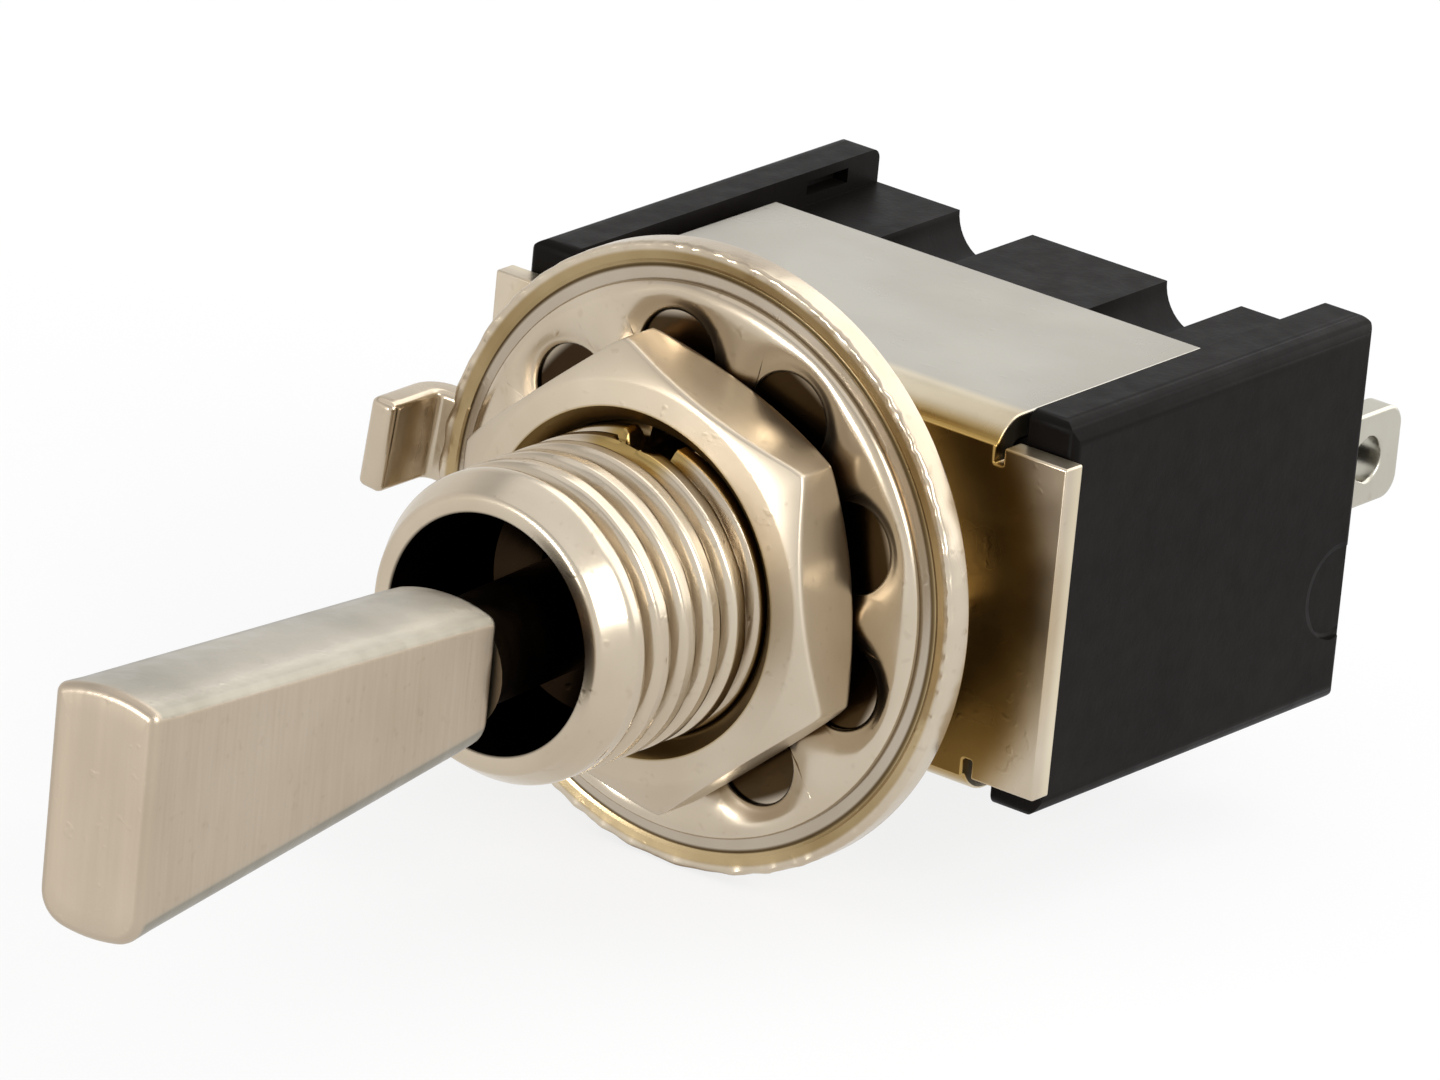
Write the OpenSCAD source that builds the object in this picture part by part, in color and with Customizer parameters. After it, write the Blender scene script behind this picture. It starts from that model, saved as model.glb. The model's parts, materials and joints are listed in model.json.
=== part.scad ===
// Panel toggle switch with a flatted lever, a threaded bushing and three solder lugs.
// Millimetres. The lever points along -Y, the terminals along +Y, and +Z is up.
// The origin is on the bushing's axis, at the front face of the frame's plate.

/* [Case] */
// Length of the moulded case
case_len = 13.0; // [12.6:0.1:15]
// Height of the case between its end flanges
case_h = 6.48; // [6.4:0.02:7.4]
// How far an end flange stands above the case between them
flange_rise = 0.7; // [0.4:0.01:0.8]
// Thickness of an end flange
flange_t = 1.1; // [0.9:0.05:1.3]
// Depth of the case from front to back
case_depth = 9.55; // [9.5:0.05:12]
// Radius of the flanges' long outer edges
flange_edge_r = 0.45; // [0.2:0.05:0.6]
// Radius of the case's upright corners
corner_r = 0.2; // [0.1:0.05:0.4]
// Radius of the grooves between the terminal bosses
groove_r = 0.88; // [0.5:0.02:0.95]
// Distance from the axis to a groove's centre
groove_x = 2.5; // [2.2:0.05:2.7]
// Height of the hollow inside the case
cavity_h = 4.0; // [3.95:0.05:4.2]
// Thickness of the case's end walls
end_wall = 0.9; // [0.7:0.05:1.1]
// Thickness of the case's back wall
back_wall = 1.25; // [1.0:0.05:1.4]
// Radius of the round ejector mark on the right end
mark_r = 0.95; // [0.6:0.05:1.2]
// Depth of the ejector mark
mark_depth = 0.08; // [0.04:0.01:0.15]

/* [Frame] */
// Thickness of the folded sheet
sheet_t = 0.5; // [0.4:0.05:0.7]
// How far the front plate reaches past each end of the case
plate_reach = 0.275; // [0.1:0.025:0.6]
// Height of the front plate at its free ends
plate_h = 6.6; // [5.8:0.05:7]
// Length of a folded leg
leg_len = 10.2; // [9.0:0.05:10.6]
// How far a leg reaches behind the front face
leg_reach = 6.45; // [4:0.05:8.5]
// Outer radius of the bends
bend_r = 0.8; // [0.75:0.05:1.2]
// Width of the relief notch beside a bend
relief_w = 0.22; // [0.1:0.01:0.4]

/* [Bushing] */
// Outer diameter of the thread
thread_d = 6.0; // [5.9:0.05:6.35]
// Distance from one thread crest to the next
thread_pitch = 0.75; // [0.5:0.05:0.8]
// Length of the bushing in front of the plate
bushing_len = 8.31; // [8.2:0.01:8.6]
// Diameter of the open mouth
mouth_d = 4.58; // [4.54:0.02:4.8]
// Length of the rim's bevel, along the axis
rim_bevel = 0.6; // [0.2:0.05:0.7]
// Diameter of the neck riveted into the plate
neck_d = 5.3; // [5.1:0.05:5.5]
// Diameter of the rivet head behind the plate
rivet_d = 6.0; // [5.8:0.05:6.1]
// Thickness of the rivet head
rivet_t = 0.7; // [0.4:0.05:0.9]
// Width of the keyway
keyway_w = 1.1; // [0.8:0.05:1.3]
// Depth of the keyway
keyway_depth = 0.48; // [0.3:0.02:0.5]
// Length of the keyway from the plate
keyway_len = 4.85; // [4.0:0.05:6]
// Turn of the keyway, and of the ring keyed in it, about the axis
key_turn = 5.5; // [-8:0.5:8]

/* [Lever] */
// Lean of the lever in the pose modelled, towards +X
rest_tilt = 3.7; // [-6:0.1:6]
// Distance from the plate's front face to the lever's pivot
pivot_depth = 3.0; // [2.9:0.05:3.2]
// Distance from the pivot to the lever's tip
lever_len = 17.78; // [14:0.1:24]
// Distance from the pivot to the paddle's shoulder
shoulder_s = 7.1; // [6.4:0.1:9]
// Thickness of the paddle between its flats
paddle_t = 2.25; // [1.9:0.05:2.6]
// Width of the paddle at its tip
tip_w = 4.78; // [3.6:0.05:5.4]
// Width of the paddle at its shoulder
root_w = 2.9; // [2.3:0.05:3.4]
// Radius of the paddle's crowned narrow sides
crown_r = 3.0; // [2.4:0.1:5]
// Diameter of the round shank
shank_d = 2.1; // [1.8:0.05:2.12]
// Diameter of the pivot ball
ball_d = 3.8; // [3.5:0.05:3.85]
// Diameter of the tail behind the ball
tail_d = 2.0; // [1.8:0.05:2.05]
// Distance from the pivot to the tail's end
tail_s = 5.4; // [5.0:0.1:5.8]
// Diameter of the cross pin
pin_d = 0.8; // [0.6:0.05:0.9]

/* [Contacts] */
// Distance between neighbouring terminals
pitch = 4.7; // [4.6:0.05:4.8]
// Width of a solder lug
lug_w = 1.9; // [1.8:0.05:2.6]
// Thickness of a solder lug
lug_t = 0.6; // [0.5:0.02:0.9]
// Length of a solder lug behind the case
lug_len = 3.55; // [3.2:0.05:7]
// Diameter of the wire hole in a lug
lug_hole_d = 0.9; // [0.8:0.05:1.2]
// Distance from the lug's end to the hole's centre
lug_hole_back = 1.05; // [1.0:0.05:1.5]
// Diameter of the fixed contact buttons
button_d = 1.5; // [1.0:0.05:1.6]
// Height of a contact button
button_t = 0.35; // [0.25:0.05:0.4]
// Thickness of the rocker's strip
strip_t = 0.4; // [0.3:0.02:0.42]
// Width of the rocker's strip
strip_w = 2.3; // [1.8:0.05:2.4]
// Diameter of the rocker's trunnions
trunnion_d = 0.8; // [0.6:0.05:0.9]
// Diameter of the plunger's rounded tip
plunger_d = 1.6; // [1.5:0.05:1.7]
// Diameter of the plunger's stem
stem_d = 1.36; // [1.1:0.02:1.36]
// Diameter of the spring's wire
wire_d = 0.14; // [0.1:0.01:0.18]

/* [Mounting hardware] */
// Width of the nuts across their flats
nut_af = 8.0; // [7.8:0.1:9]
// Thickness of the front nut
nut_t = 1.71; // [1.4:0.01:1.9]
// Thickness of the rear nut
rear_nut_t = 1.58; // [1.2:0.01:1.7]
// How far a nut's face stops short of its flats
nut_chamfer = 0.08; // [0.04:0.02:0.3]
// Turn of the front nut about the bushing's axis
nut_turn = 18.5; // [-60:0.5:60]
// Outer diameter of the toothed lock washer
washer_d = 10.74; // [10.2:0.05:11.6]
// Thickness of the lock washer
washer_t = 0.25; // [0.2:0.01:0.4]
// Number of teeth on the lock washer
washer_teeth = 9; // [7:1:10]
// Outer diameter of the locating ring
ring_d = 12.16; // [11.6:0.05:13]
// Thickness of the locating ring
ring_t = 0.57; // [0.4:0.01:0.7]
// Width of the locating tab
tab_w = 1.85; // [1.4:0.05:2.4]
// How far the tab stands in front of the ring
tab_reach = 1.4; // [1.0:0.05:1.8]

/* [Clearances] */
// Gap between a pin or thread and the hole around it
fit_gap = 0.02; // [0.01:0.01:0.04]
// Running gap of a pivot or sliding piece
run_gap = 0.05; // [0.03:0.01:0.08]
// Gap between the frame's plate and the case
seat_gap = 0.1; // [0:0.02:0.3]

/* [Hidden] */
$fn = 64;

// Extra length that carries a cut clear of the faces it passes.
cut = 1;
// How far one shape is sunk into the one that it joins, in a moulding and in a thin strip.
bury = 0.1;
join = 0.02;

// Case, from the frame's plate back.
case_front = sheet_t + seat_gap;
case_back = case_front + case_depth;
cavity_back = case_back - back_wall;
flange_h = case_h + 2 * flange_rise;
flange_in = case_len / 2 - flange_t;
catch_w = 1.3;
catch_h = 0.3;
catch_depth = 0.35;
catch_end = 1.0;

// Frame.
frame_h = case_h + 2 * sheet_t;
plate_len = case_len + 2 * plate_reach;

// Bushing. Under a nut the thread is drawn at its pitch radius, where the two threads meet.
// In front of the nuts it is drawn as ring grooves, a pitch apart.
pitch_share = 0.325;
pitch_r = thread_d / 2 - pitch_share * thread_pitch;
crest_share = 0.4;
depth_share = 0.45;
root_share = 0.14;
vee_depth = depth_share * thread_pitch;
vee_half = (1 - crest_share) * thread_pitch / 2;
vee_root = root_share * thread_pitch / 2;
vee_front = -bushing_len + rim_bevel + crest_share * thread_pitch;
rivet_back = sheet_t + rivet_t;
rim_slope = 0.6;
pocket_r = ball_d / 2 + run_gap;
lip_reach = 0.42;
lip_r = pocket_r - lip_reach;
lip_t = 0.5;
lip_slope = 0.5;
seat_angle = asin(lip_r / pocket_r);
neck_wall = 0.42;
tail_room_r = neck_d / 2 - neck_wall;

// Lever and plunger, as distances from the pivot.
bore_r = stem_d / 2 + run_gap;
pin_wall = 0.6;
bore_start = pin_d / 2 + pin_wall;
stem_start = 3.4;
tip_s = 8.2;
shank_root = 0.5;
taper = atan((tip_w - root_w) / 2 / (lever_len - shoulder_s));

// Rocker. Its tilt is the lever's tilt times rocker_ratio.
rocker_ratio = -0.62;
full_tilt = 12;
saddle_depth = 1.5;
rocker_y = tip_s - pivot_depth + saddle_depth;
// The saddle is the arc on which the plunger's tip stays an even gap away as both parts turn.
tip_gap = 0.08;
near = rocker_y - (tip_s - pivot_depth);
side_x = tip_s * sin(full_tilt);
side_y = rocker_y - (tip_s * cos(full_tilt) - pivot_depth);
turn = -rocker_ratio * full_tilt;
path_x = side_x * cos(turn) - side_y * sin(turn);
path_y = side_x * sin(turn) + side_y * cos(turn);
saddle_c = (path_x * path_x + path_y * path_y - near * near) / 2 / (path_y - near);
saddle_r = saddle_c - near + plunger_d / 2 + tip_gap;
saddle_x = path_x + plunger_d / 2;
saddle_rim = saddle_c - sqrt(saddle_r * saddle_r - saddle_x * saddle_x);
arm_slope = 1.0;
arm_in = saddle_x + arm_slope;
arm_bend = 0.25;
arm_end = 0.6;
arm_out = pitch + arm_end;
ear_t = 0.4;
ear_gap = 0.15;
ear_z = strip_w / 2 + ear_gap;
notch_r = trunnion_d / 2 + run_gap;
notch_lead = 0.35;
ear_front = rocker_y - notch_r - notch_lead;
prong_w = 0.45;
fork_w = 2 * (notch_r + prong_w);

// Contacts. The fixed buttons stand where the rocker's button stops at full tilt.
lug_round = 0.45;
head_t = 0.45;
head_side = 0.05;
fixed_face = cavity_back - head_t - button_t;
contact_gap = 0.04;
rocker_button_r = 0.65;
reach_x = pitch + rocker_button_r;
arm_face = (fixed_face - contact_gap - rocker_y - reach_x * sin(turn)) / cos(turn);
arm_y = arm_face - button_t - strip_t;

// Mounting hardware, from the plate forwards.
ring_back = rear_nut_t;
washer_back = ring_back + ring_t;
nut_back = washer_back + washer_t;
hole_r = thread_d / 2 + fit_gap;
nut_bore_r = pitch_r + fit_gap;
nut_front = nut_back + nut_t;
vee_count = floor((-nut_front - vee_front) / thread_pitch);
sink_reach = 0.37;
sink_r = thread_d / 2 + sink_reach;
gap_r = 0.88;
gap_reach = 0.8;
gap_turn = 20.3;
tooth_gap = 0.15;
key_root = 0.3;
tab_bend_r = 0.15;
tab_inset = 0.06;

// Seal pockets in the case's back.
seal_side = 0.45;
seal_end = 0.4;
seal_w = lug_t + 2 * seal_side;
seal_h = lug_w + 2 * seal_end;
seal_t = 0.45;
seal_sink = 0.05;

// A solid of the given section, whose section is drawn in X and Z and runs along +Y.
module along_y(from, to) {
  translate([0, to, 0])
    rotate([90, 0, 0])
      linear_extrude(to - from)
        children();
}

// A solid of a section that is drawn in Y and Z and runs along X, centred.
module along_x(length) {
  rotate([90, 0, 90])
    linear_extrude(length, center = true)
      children();
}

// A cylinder along +Y between two distances.
module rod_y(r, from, to) {
  translate([0, from, 0])
    rotate([-90, 0, 0])
      cylinder(r = r, h = to - from);
}

// A cone along +Y, from radius r1 to radius r2.
module cone_y(r1, r2, from, to) {
  translate([0, from, 0])
    rotate([-90, 0, 0])
      cylinder(r1 = r1, r2 = r2, h = to - from);
}

// A rectangle with round corners, its lower left corner at the origin.
module round_rect(w, h, r) {
  translate([r, 0])
    square([w - 2 * r, h]);
  translate([0, r])
    square([w, h - 2 * r]);
  for (x = [r, w - r], y = [r, h - r])
    translate([x, y])
      circle(r = r, $fn = 32);
}

// A rectangle that starts at the origin, centred in its second axis, with its near corners round.
module round_front(w, h, r) {
  translate([r, -h / 2])
    square([w - r, h]);
  translate([0, -h / 2 + r])
    square([w, h - 2 * r]);
  for (side = [-1, 1])
    translate([r, side * (h / 2 - r)])
      circle(r = r, $fn = 32);
}

// A box given by its middle in X and Z and its span in Y.
module block(x, z, w, h, from, to) {
  translate([x - w / 2, from, z - h / 2])
    cube([w, to - from, h]);
}

// Puts a part drawn around the lever's pivot, along the Y axis, in its place.
module at_pivot() {
  translate([0, -pivot_depth, 0])
    rotate([0, 0, rest_tilt])
      children();
}

// Puts a part drawn around the rocker's trunnions in its place.
module at_rocker() {
  translate([0, rocker_y, 0])
    rotate([0, 0, rocker_ratio * rest_tilt])
      children();
}

// Case: a moulded cup, open to the front, with raised end flanges.
module case_outline() {
  intersection() {
    union() {
      for (side = [-1, 1])
        intersection() {
          along_y(case_front, case_back)
            translate([-case_len / 2, -flange_h / 2])
              round_rect(case_len, flange_h, flange_edge_r);
          block(side * (case_len - flange_t) / 2, 0, flange_t, flange_h + cut, case_front, case_back);
        }
      along_x(2 * (flange_in + bury))
        translate([case_front, 0])
          round_front(case_depth, case_h, bend_r - sheet_t + seat_gap);
    }
    along_x(case_len + cut)
      translate([case_front, -flange_h / 2])
        round_rect(case_depth, flange_h, flange_edge_r / 2);
    translate([-case_len / 2, case_front, -flange_h / 2 - cut])
      linear_extrude(flange_h + 2 * cut)
        round_rect(case_len, case_depth, corner_r);
  }
}

// A small pocket in the inner face of a flange, near its back end.
module catch_pocket(side, level) {
  block(
    side * (flange_in + (catch_depth - cut) / 2), level * (case_h + flange_rise) / 2,
    catch_depth + cut, catch_h, case_back - catch_end - catch_w, case_back - catch_end
  );
}

module case() {
  color("#262322")
    difference() {
      case_outline();
      block(0, 0, case_len - 2 * end_wall, cavity_h, case_front - cut, cavity_back);
      rod_y(rivet_d / 2 + 2 * run_gap, case_front - cut, rivet_back + run_gap);
      for (side = [-1, 1], level = [-1, 1])
        translate([side * groove_x, 0, level * case_h / 2])
          rod_y(groove_r, case_front - cut, case_back + cut);
      for (i = [-1, 0, 1]) {
        block(i * pitch, 0, lug_t + 2 * fit_gap, lug_w + 2 * fit_gap, cavity_back - cut, case_back + cut);
        block(i * pitch, 0, seal_w, seal_h, case_back - seal_t, case_back + cut);
      }
      for (side = [-1, 1], level = [-1, 1])
        catch_pocket(side, level);
      translate([case_len / 2 - mark_depth, case_back - mark_r / 4, -case_h / 4])
        rotate([0, 90, 0])
          cylinder(r = mark_r, h = cut);
    }
}

// Frame: one sheet folded into a U over the case, with the bushing riveted into its plate.
module frame_section() {
  flat = frame_h / 2 - bend_r;
  translate([0, -flat])
    square([sheet_t, 2 * flat]);
  for (level = [-1, 1])
    scale([1, level]) {
      translate([bend_r, frame_h / 2 - sheet_t])
        square([leg_reach - bend_r, sheet_t]);
      translate([bend_r, flat])
        intersection() {
          difference() {
            circle(r = bend_r);
            circle(r = bend_r - sheet_t);
          }
          translate([-bend_r, 0])
            square(bend_r);
        }
    }
}

module frame() {
  color("#b9ac98")
    difference() {
      union() {
        along_x(leg_len)
          frame_section();
        block(0, 0, plate_len, plate_h, 0, sheet_t);
      }
      rod_y(neck_d / 2 + fit_gap, -cut, sheet_t + cut);
      for (side = [-1, 1], level = [-1, 1])
        block(
          side * (leg_len + relief_w) / 2, level * frame_h / 2,
          relief_w, 2 * bend_r, -cut, sheet_t + cut
        );
    }
}

// Corners of one of the thread's grooves, from its back edge forwards.
function vee(middle) = [
  [thread_d / 2, middle + vee_half],
  [thread_d / 2 - vee_depth, middle + vee_root],
  [thread_d / 2 - vee_depth, middle - vee_root],
  [thread_d / 2, middle - vee_half]
];

function all_vees() = [
  for (i = [vee_count - 1:-1:0])
    each vee(vee_front + vee_half + i * thread_pitch)
];

// Bushing: a threaded tube with a socket for the lever's ball, riveted into the plate.
module bushing_profile() {
  rim_r = thread_d / 2 - rim_bevel * rim_slope;
  lip_front = -pivot_depth - pocket_r * cos(seat_angle) - lip_t;
  polygon([
    [rivet_d / 2, rivet_back],
    [rivet_d / 2, sheet_t],
    [neck_d / 2, sheet_t],
    [neck_d / 2, 0],
    [pitch_r, 0],
    [pitch_r, -rear_nut_t],
    [thread_d / 2, -rear_nut_t],
    [thread_d / 2, -nut_back],
    [pitch_r, -nut_back],
    [pitch_r, -nut_front],
    [thread_d / 2, -nut_front],
    each all_vees(),
    [thread_d / 2, -bushing_len + rim_bevel],
    [rim_r, -bushing_len],
    [mouth_d / 2, -bushing_len],
    [mouth_d / 2, lip_front - lip_slope],
    [lip_r, lip_front],
    [lip_r, -pivot_depth - lip_r / 2],
    [tail_room_r, rivet_back]
  ]);
}

module bushing() {
  color("#c8bda6")
    difference() {
      rotate([-90, 0, 0])
        mirror([0, 1, 0])
          rotate_extrude()
            bushing_profile();
      translate([0, -pivot_depth, 0])
        sphere(r = pocket_r);
      translate([0, -pivot_depth, -thread_d])
        cylinder(r = pin_d / 2 + fit_gap, h = 2 * thread_d);
      rotate([0, key_turn, 0])
        keyway_cut();
    }
}

// The cut of the keyway on the bushing's upper side, with a round front end.
module keyway_cut() {
  floor_z = thread_d / 2 - keyway_depth;
  hair = 0.001;
  translate([-keyway_w / 2, -keyway_len + keyway_w / 2, floor_z])
    cube([keyway_w, keyway_len - keyway_w / 2 - hair, cut]);
  translate([0, -keyway_len + keyway_w / 2, floor_z])
    cylinder(r = keyway_w / 2, h = cut);
}

// Lever: a turned shank and ball, with a flatted paddle that widens to its tip.
// One half of the paddle's section: the slab between the flats, crowned on one narrow side.
module paddle_half(level) {
  intersection() {
    block(0, 0, paddle_t, tip_w + cut, -lever_len, -shoulder_s);
    translate([0, -lever_len, level * (tip_w / 2 - crown_r)])
      rotate([level * -taper, 0, 0])
        rod_y(crown_r, -cut, lever_len);
  }
}

module lever() {
  color("#c5b69f")
    at_pivot()
      difference() {
        union() {
          intersection() {
            paddle_half(-1);
            paddle_half(1);
          }
          rod_y(shank_d / 2, -shoulder_s - shank_root, 0);
          sphere(r = ball_d / 2);
          rod_y(tail_d / 2, 0, tail_s);
        }
        rod_y(bore_r, bore_start, tail_s + cut);
        translate([0, 0, -ball_d])
          cylinder(r = pin_d / 2 + run_gap, h = 2 * ball_d);
      }
}

// Cross pin: it holds the ball in the bushing and is the lever's axle.
module pivot_pin() {
  color("#8d8a84")
    translate([0, -pivot_depth, -(thread_d / 2 - keyway_depth - run_gap)])
      cylinder(r = pin_d / 2, h = thread_d - 2 * keyway_depth - 2 * run_gap);
}

// Plunger: a moulded pin whose round tip runs over the rocker's saddle.
module plunger() {
  color("#e6e1d2")
    at_pivot() {
      rod_y(stem_d / 2, stem_start, tip_s);
      translate([0, tip_s, 0])
        sphere(r = plunger_d / 2);
    }
}

// Plunger spring: a coil in the lever's tail, swept as one closed tube.
spring_turns = 7;
spring_sides = 8;
spring_steps = 20;
coil_gap = 0.06;
coil_end = 0.01;
spring_r = bore_r - wire_d / 2 - coil_gap;
spring_start = bore_start + wire_d / 2 + coil_end;
spring_end = stem_start - wire_d / 2 - coil_end;

function coil_point(step, side) =
  let (
    angle = 360 * step / spring_steps,
    around = 360 * side / spring_sides,
    along = spring_start + (spring_end - spring_start) * step / spring_turns / spring_steps,
    r = spring_r + wire_d / 2 * cos(around)
  )
  [r * cos(angle), along + wire_d / 2 * sin(around), r * sin(angle)];

module plunger_spring() {
  last = spring_turns * spring_steps;
  points = [for (step = [0:last], side = [0:spring_sides - 1]) coil_point(step, side)];
  wall = [
    for (step = [0:last - 1], side = [0:spring_sides - 1])
      let (next = (side + 1) % spring_sides, a = step * spring_sides, b = a + spring_sides)
      [a + side, b + side, b + next, a + next]
  ];
  first_cap = [[for (side = [0:spring_sides - 1]) side]];
  last_cap = [[for (side = [spring_sides - 1:-1:0]) last * spring_sides + side]];
  color("#a9a7a2")
    at_pivot()
      polyhedron(points = points, faces = concat(wall, first_cap, last_cap));
}

// Rocker: a formed strip with a saddle for the plunger and an arm on each side.
module rocker_section() {
  intersection() {
    translate([0, -saddle_c])
      difference() {
        circle(r = saddle_r + strip_t);
        circle(r = saddle_r);
      }
    translate([-saddle_x, -saddle_c])
      square([2 * saddle_x, saddle_c + saddle_r]);
  }
  for (side = [-1, 1])
    scale([side, 1]) {
      polygon([
        [saddle_x - join, -saddle_rim],
        [saddle_x + arm_bend, -saddle_rim],
        [arm_in + arm_bend, arm_y],
        [arm_in, arm_y + strip_t],
        [saddle_x - join, -saddle_rim + strip_t]
      ]);
      translate([arm_in - join, arm_y])
        square([arm_out - arm_in + join, strip_t]);
    }
}

module rocker() {
  color("#c9a86a")
    at_rocker() {
      translate([0, 0, -strip_w / 2])
        linear_extrude(strip_w)
          rocker_section();
      translate([0, 0, -(ear_z + ear_t)])
        cylinder(r = trunnion_d / 2, h = 2 * (ear_z + ear_t));
    }
}

// Rocker contacts: silver buttons on the arms.
module rocker_contact(side) {
  color("#dcdcd6")
    at_rocker()
      translate([side * pitch, 0, 0])
        rod_y(rocker_button_r, arm_face - button_t, arm_face);
}

module rocker_contact_left() {
  rocker_contact(-1);
}

module rocker_contact_right() {
  rocker_contact(1);
}

// Solder lug: a flat blade with a wire hole, standing on edge behind the case.
module lug(x) {
  tip = case_back + lug_len;
  difference() {
    translate([x - lug_t / 2, 0, 0])
      rotate([90, 0, 90])
        linear_extrude(lug_t) {
          translate([tip - lug_len, -lug_w / 2])
            round_rect(lug_len, lug_w, lug_round);
          translate([cavity_back, -lug_w / 2])
            square([case_back + lug_round - cavity_back, lug_w]);
        }
    translate([x - lug_t, tip - lug_hole_back, 0])
      rotate([0, 90, 0])
        cylinder(r = lug_hole_d / 2, h = 2 * lug_t);
  }
}

// End terminal: a lug with a flat head inside the case.
module end_terminal(side) {
  color("#d8d8cc") {
    lug(side * pitch);
    block(side * pitch, 0, button_d + 2 * head_side, lug_w, cavity_back - head_t, cavity_back);
  }
}

module terminal_left() {
  end_terminal(-1);
}

module terminal_right() {
  end_terminal(1);
}

// Centre terminal: a lug whose head is a fork with open notches for the rocker's trunnions.
module fork_section() {
  outer = ear_z + ear_t;
  difference() {
    translate([ear_front, -outer])
      square([cavity_back - ear_front, 2 * outer]);
    translate([ear_front - cut, -ear_z])
      square([cavity_back - head_t - ear_front + cut, 2 * ear_z]);
  }
}

module terminal_centre() {
  color("#d8d8cc") {
    lug(0);
    difference() {
      along_x(fork_w)
        fork_section();
      translate([0, rocker_y, -case_h])
        cylinder(r = notch_r, h = 2 * case_h);
      block(0, 0, 2 * notch_r, 2 * case_h, ear_front - cut, rocker_y);
    }
  }
}

// Fixed contacts: silver buttons on the end terminals' heads.
module fixed_contact(side) {
  color("#dcdcd6")
    translate([side * pitch, 0, 0])
      rod_y(button_d / 2, fixed_face, cavity_back - head_t);
}

module fixed_contact_left() {
  fixed_contact(-1);
}

module fixed_contact_right() {
  fixed_contact(1);
}

// Seals: resin in the pocket around each lug.
module seal(i) {
  color("#2b2a28")
    difference() {
      block(i * pitch, 0, seal_w, seal_h, case_back - seal_t, case_back - seal_sink);
      block(i * pitch, 0, lug_t, lug_w, case_back - seal_t - cut, case_back + cut);
    }
}

module seal_left() {
  seal(-1);
}

module seal_centre() {
  seal(0);
}

module seal_right() {
  seal(1);
}

// A hexagon nut between two distances in front of the plate, its corners cut by cones.
module hex_nut(back, thick, angle) {
  across_corners = nut_af / cos(30);
  face_r = nut_af / 2 - nut_chamfer;
  outer_r = across_corners / 2 + cut / 2;
  rise = (outer_r - face_r) * tan(30);
  rotate([0, angle, 0])
    intersection() {
      along_y(-back - thick, -back)
        circle(r = across_corners / 2, $fn = 6);
      translate([0, -back, 0])
        rotate([90, 0, 0])
          rotate_extrude()
            polygon([
              [0, 0], [face_r, 0], [outer_r, rise],
              [outer_r, thick - rise], [face_r, thick], [0, thick]
            ]);
    }
}

module front_nut() {
  color("#cbbda4")
    difference() {
      hex_nut(nut_back, nut_t, nut_turn);
      rod_y(nut_bore_r, -nut_front - cut, cut);
      cone_y(sink_r + cut, nut_bore_r, -nut_front - cut, -nut_front + sink_r - nut_bore_r);
    }
}

module rear_nut() {
  color("#cbbda4")
    difference() {
      hex_nut(0, rear_nut_t, 0);
      rod_y(nut_bore_r, -rear_nut_t - cut, cut);
    }
}

// Lock washer: a thin disc with broad teeth pointing inwards, and a teardrop gap between each two.
module washer_gap() {
  gap_c = nut_af / 2 + gap_reach - gap_r;
  side = gap_r - join;
  translate([gap_c, 0, 0])
    rod_y(gap_r, -nut_back - cut, 0);
  along_y(-nut_back - cut, 0)
    polygon([[0, 0], [gap_c, -side], [gap_c, side]]);
}

module lock_washer() {
  color("#c9bca6")
    difference() {
      rod_y(washer_d / 2, -nut_back, -washer_back);
      rod_y(thread_d / 2 + tooth_gap, -nut_back - cut, 0);
      for (i = [0:washer_teeth - 1])
        rotate([0, -gap_turn - 360 * i / washer_teeth, 0])
          washer_gap();
    }
}

// Locating ring: a thick washer with a key in the bushing's keyway and a tab bent forwards.
module tab_section() {
  inner_r = tab_bend_r;
  outer_r = inner_r + ring_t;
  bend_x = ring_d / 2 - tab_inset + inner_r;
  front = -washer_back - tab_reach;
  translate([-bend_x, -washer_back])
    square([1, ring_t]);
  translate([-bend_x, -washer_back - inner_r])
    intersection() {
      difference() {
        circle(r = outer_r);
        circle(r = inner_r);
      }
      translate([-outer_r, 0])
        square(outer_r);
    }
  translate([-bend_x - outer_r, front])
    square([ring_t, tab_reach - inner_r]);
}

module locating_ring() {
  key_w = keyway_w - 4 * fit_gap;
  key_floor = thread_d / 2 - keyway_depth + 2 * fit_gap;
  key_top = thread_d / 2 + key_root;
  color("#cbbfa9")
    rotate([0, key_turn, 0]) {
      difference() {
        rod_y(ring_d / 2, -washer_back, -ring_back);
        rod_y(hole_r, -washer_back - cut, 0);
      }
      translate([-key_w / 2, -washer_back, key_floor])
        cube([key_w, ring_t, key_top - key_floor]);
      translate([0, 0, -tab_w / 2])
        linear_extrude(tab_w)
          tab_section();
    }
}

case();
frame();
bushing();
lever();
pivot_pin();
plunger();
plunger_spring();
rocker();
rocker_contact_left();
rocker_contact_right();
terminal_left();
terminal_centre();
terminal_right();
fixed_contact_left();
fixed_contact_right();
seal_left();
seal_centre();
seal_right();
front_nut();
rear_nut();
lock_washer();
locating_ring();
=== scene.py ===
# %% [markdown]
# # A panel toggle switch, dressed around its CAD frame
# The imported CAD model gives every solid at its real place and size. This script keeps the moulded
# and folded pieces from it with softer edges, works out the turned, threaded and stamped pieces
# as surfaces of their own, and gives each one a procedural finish. All sizes are in millimetres
# until a mesh is made, and come from the CAD boxes wherever a box can give them.

# %% Load the frame
import json
import math

import bmesh
import bpy
import numpy as np
from mathutils import Matrix, Vector


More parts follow.
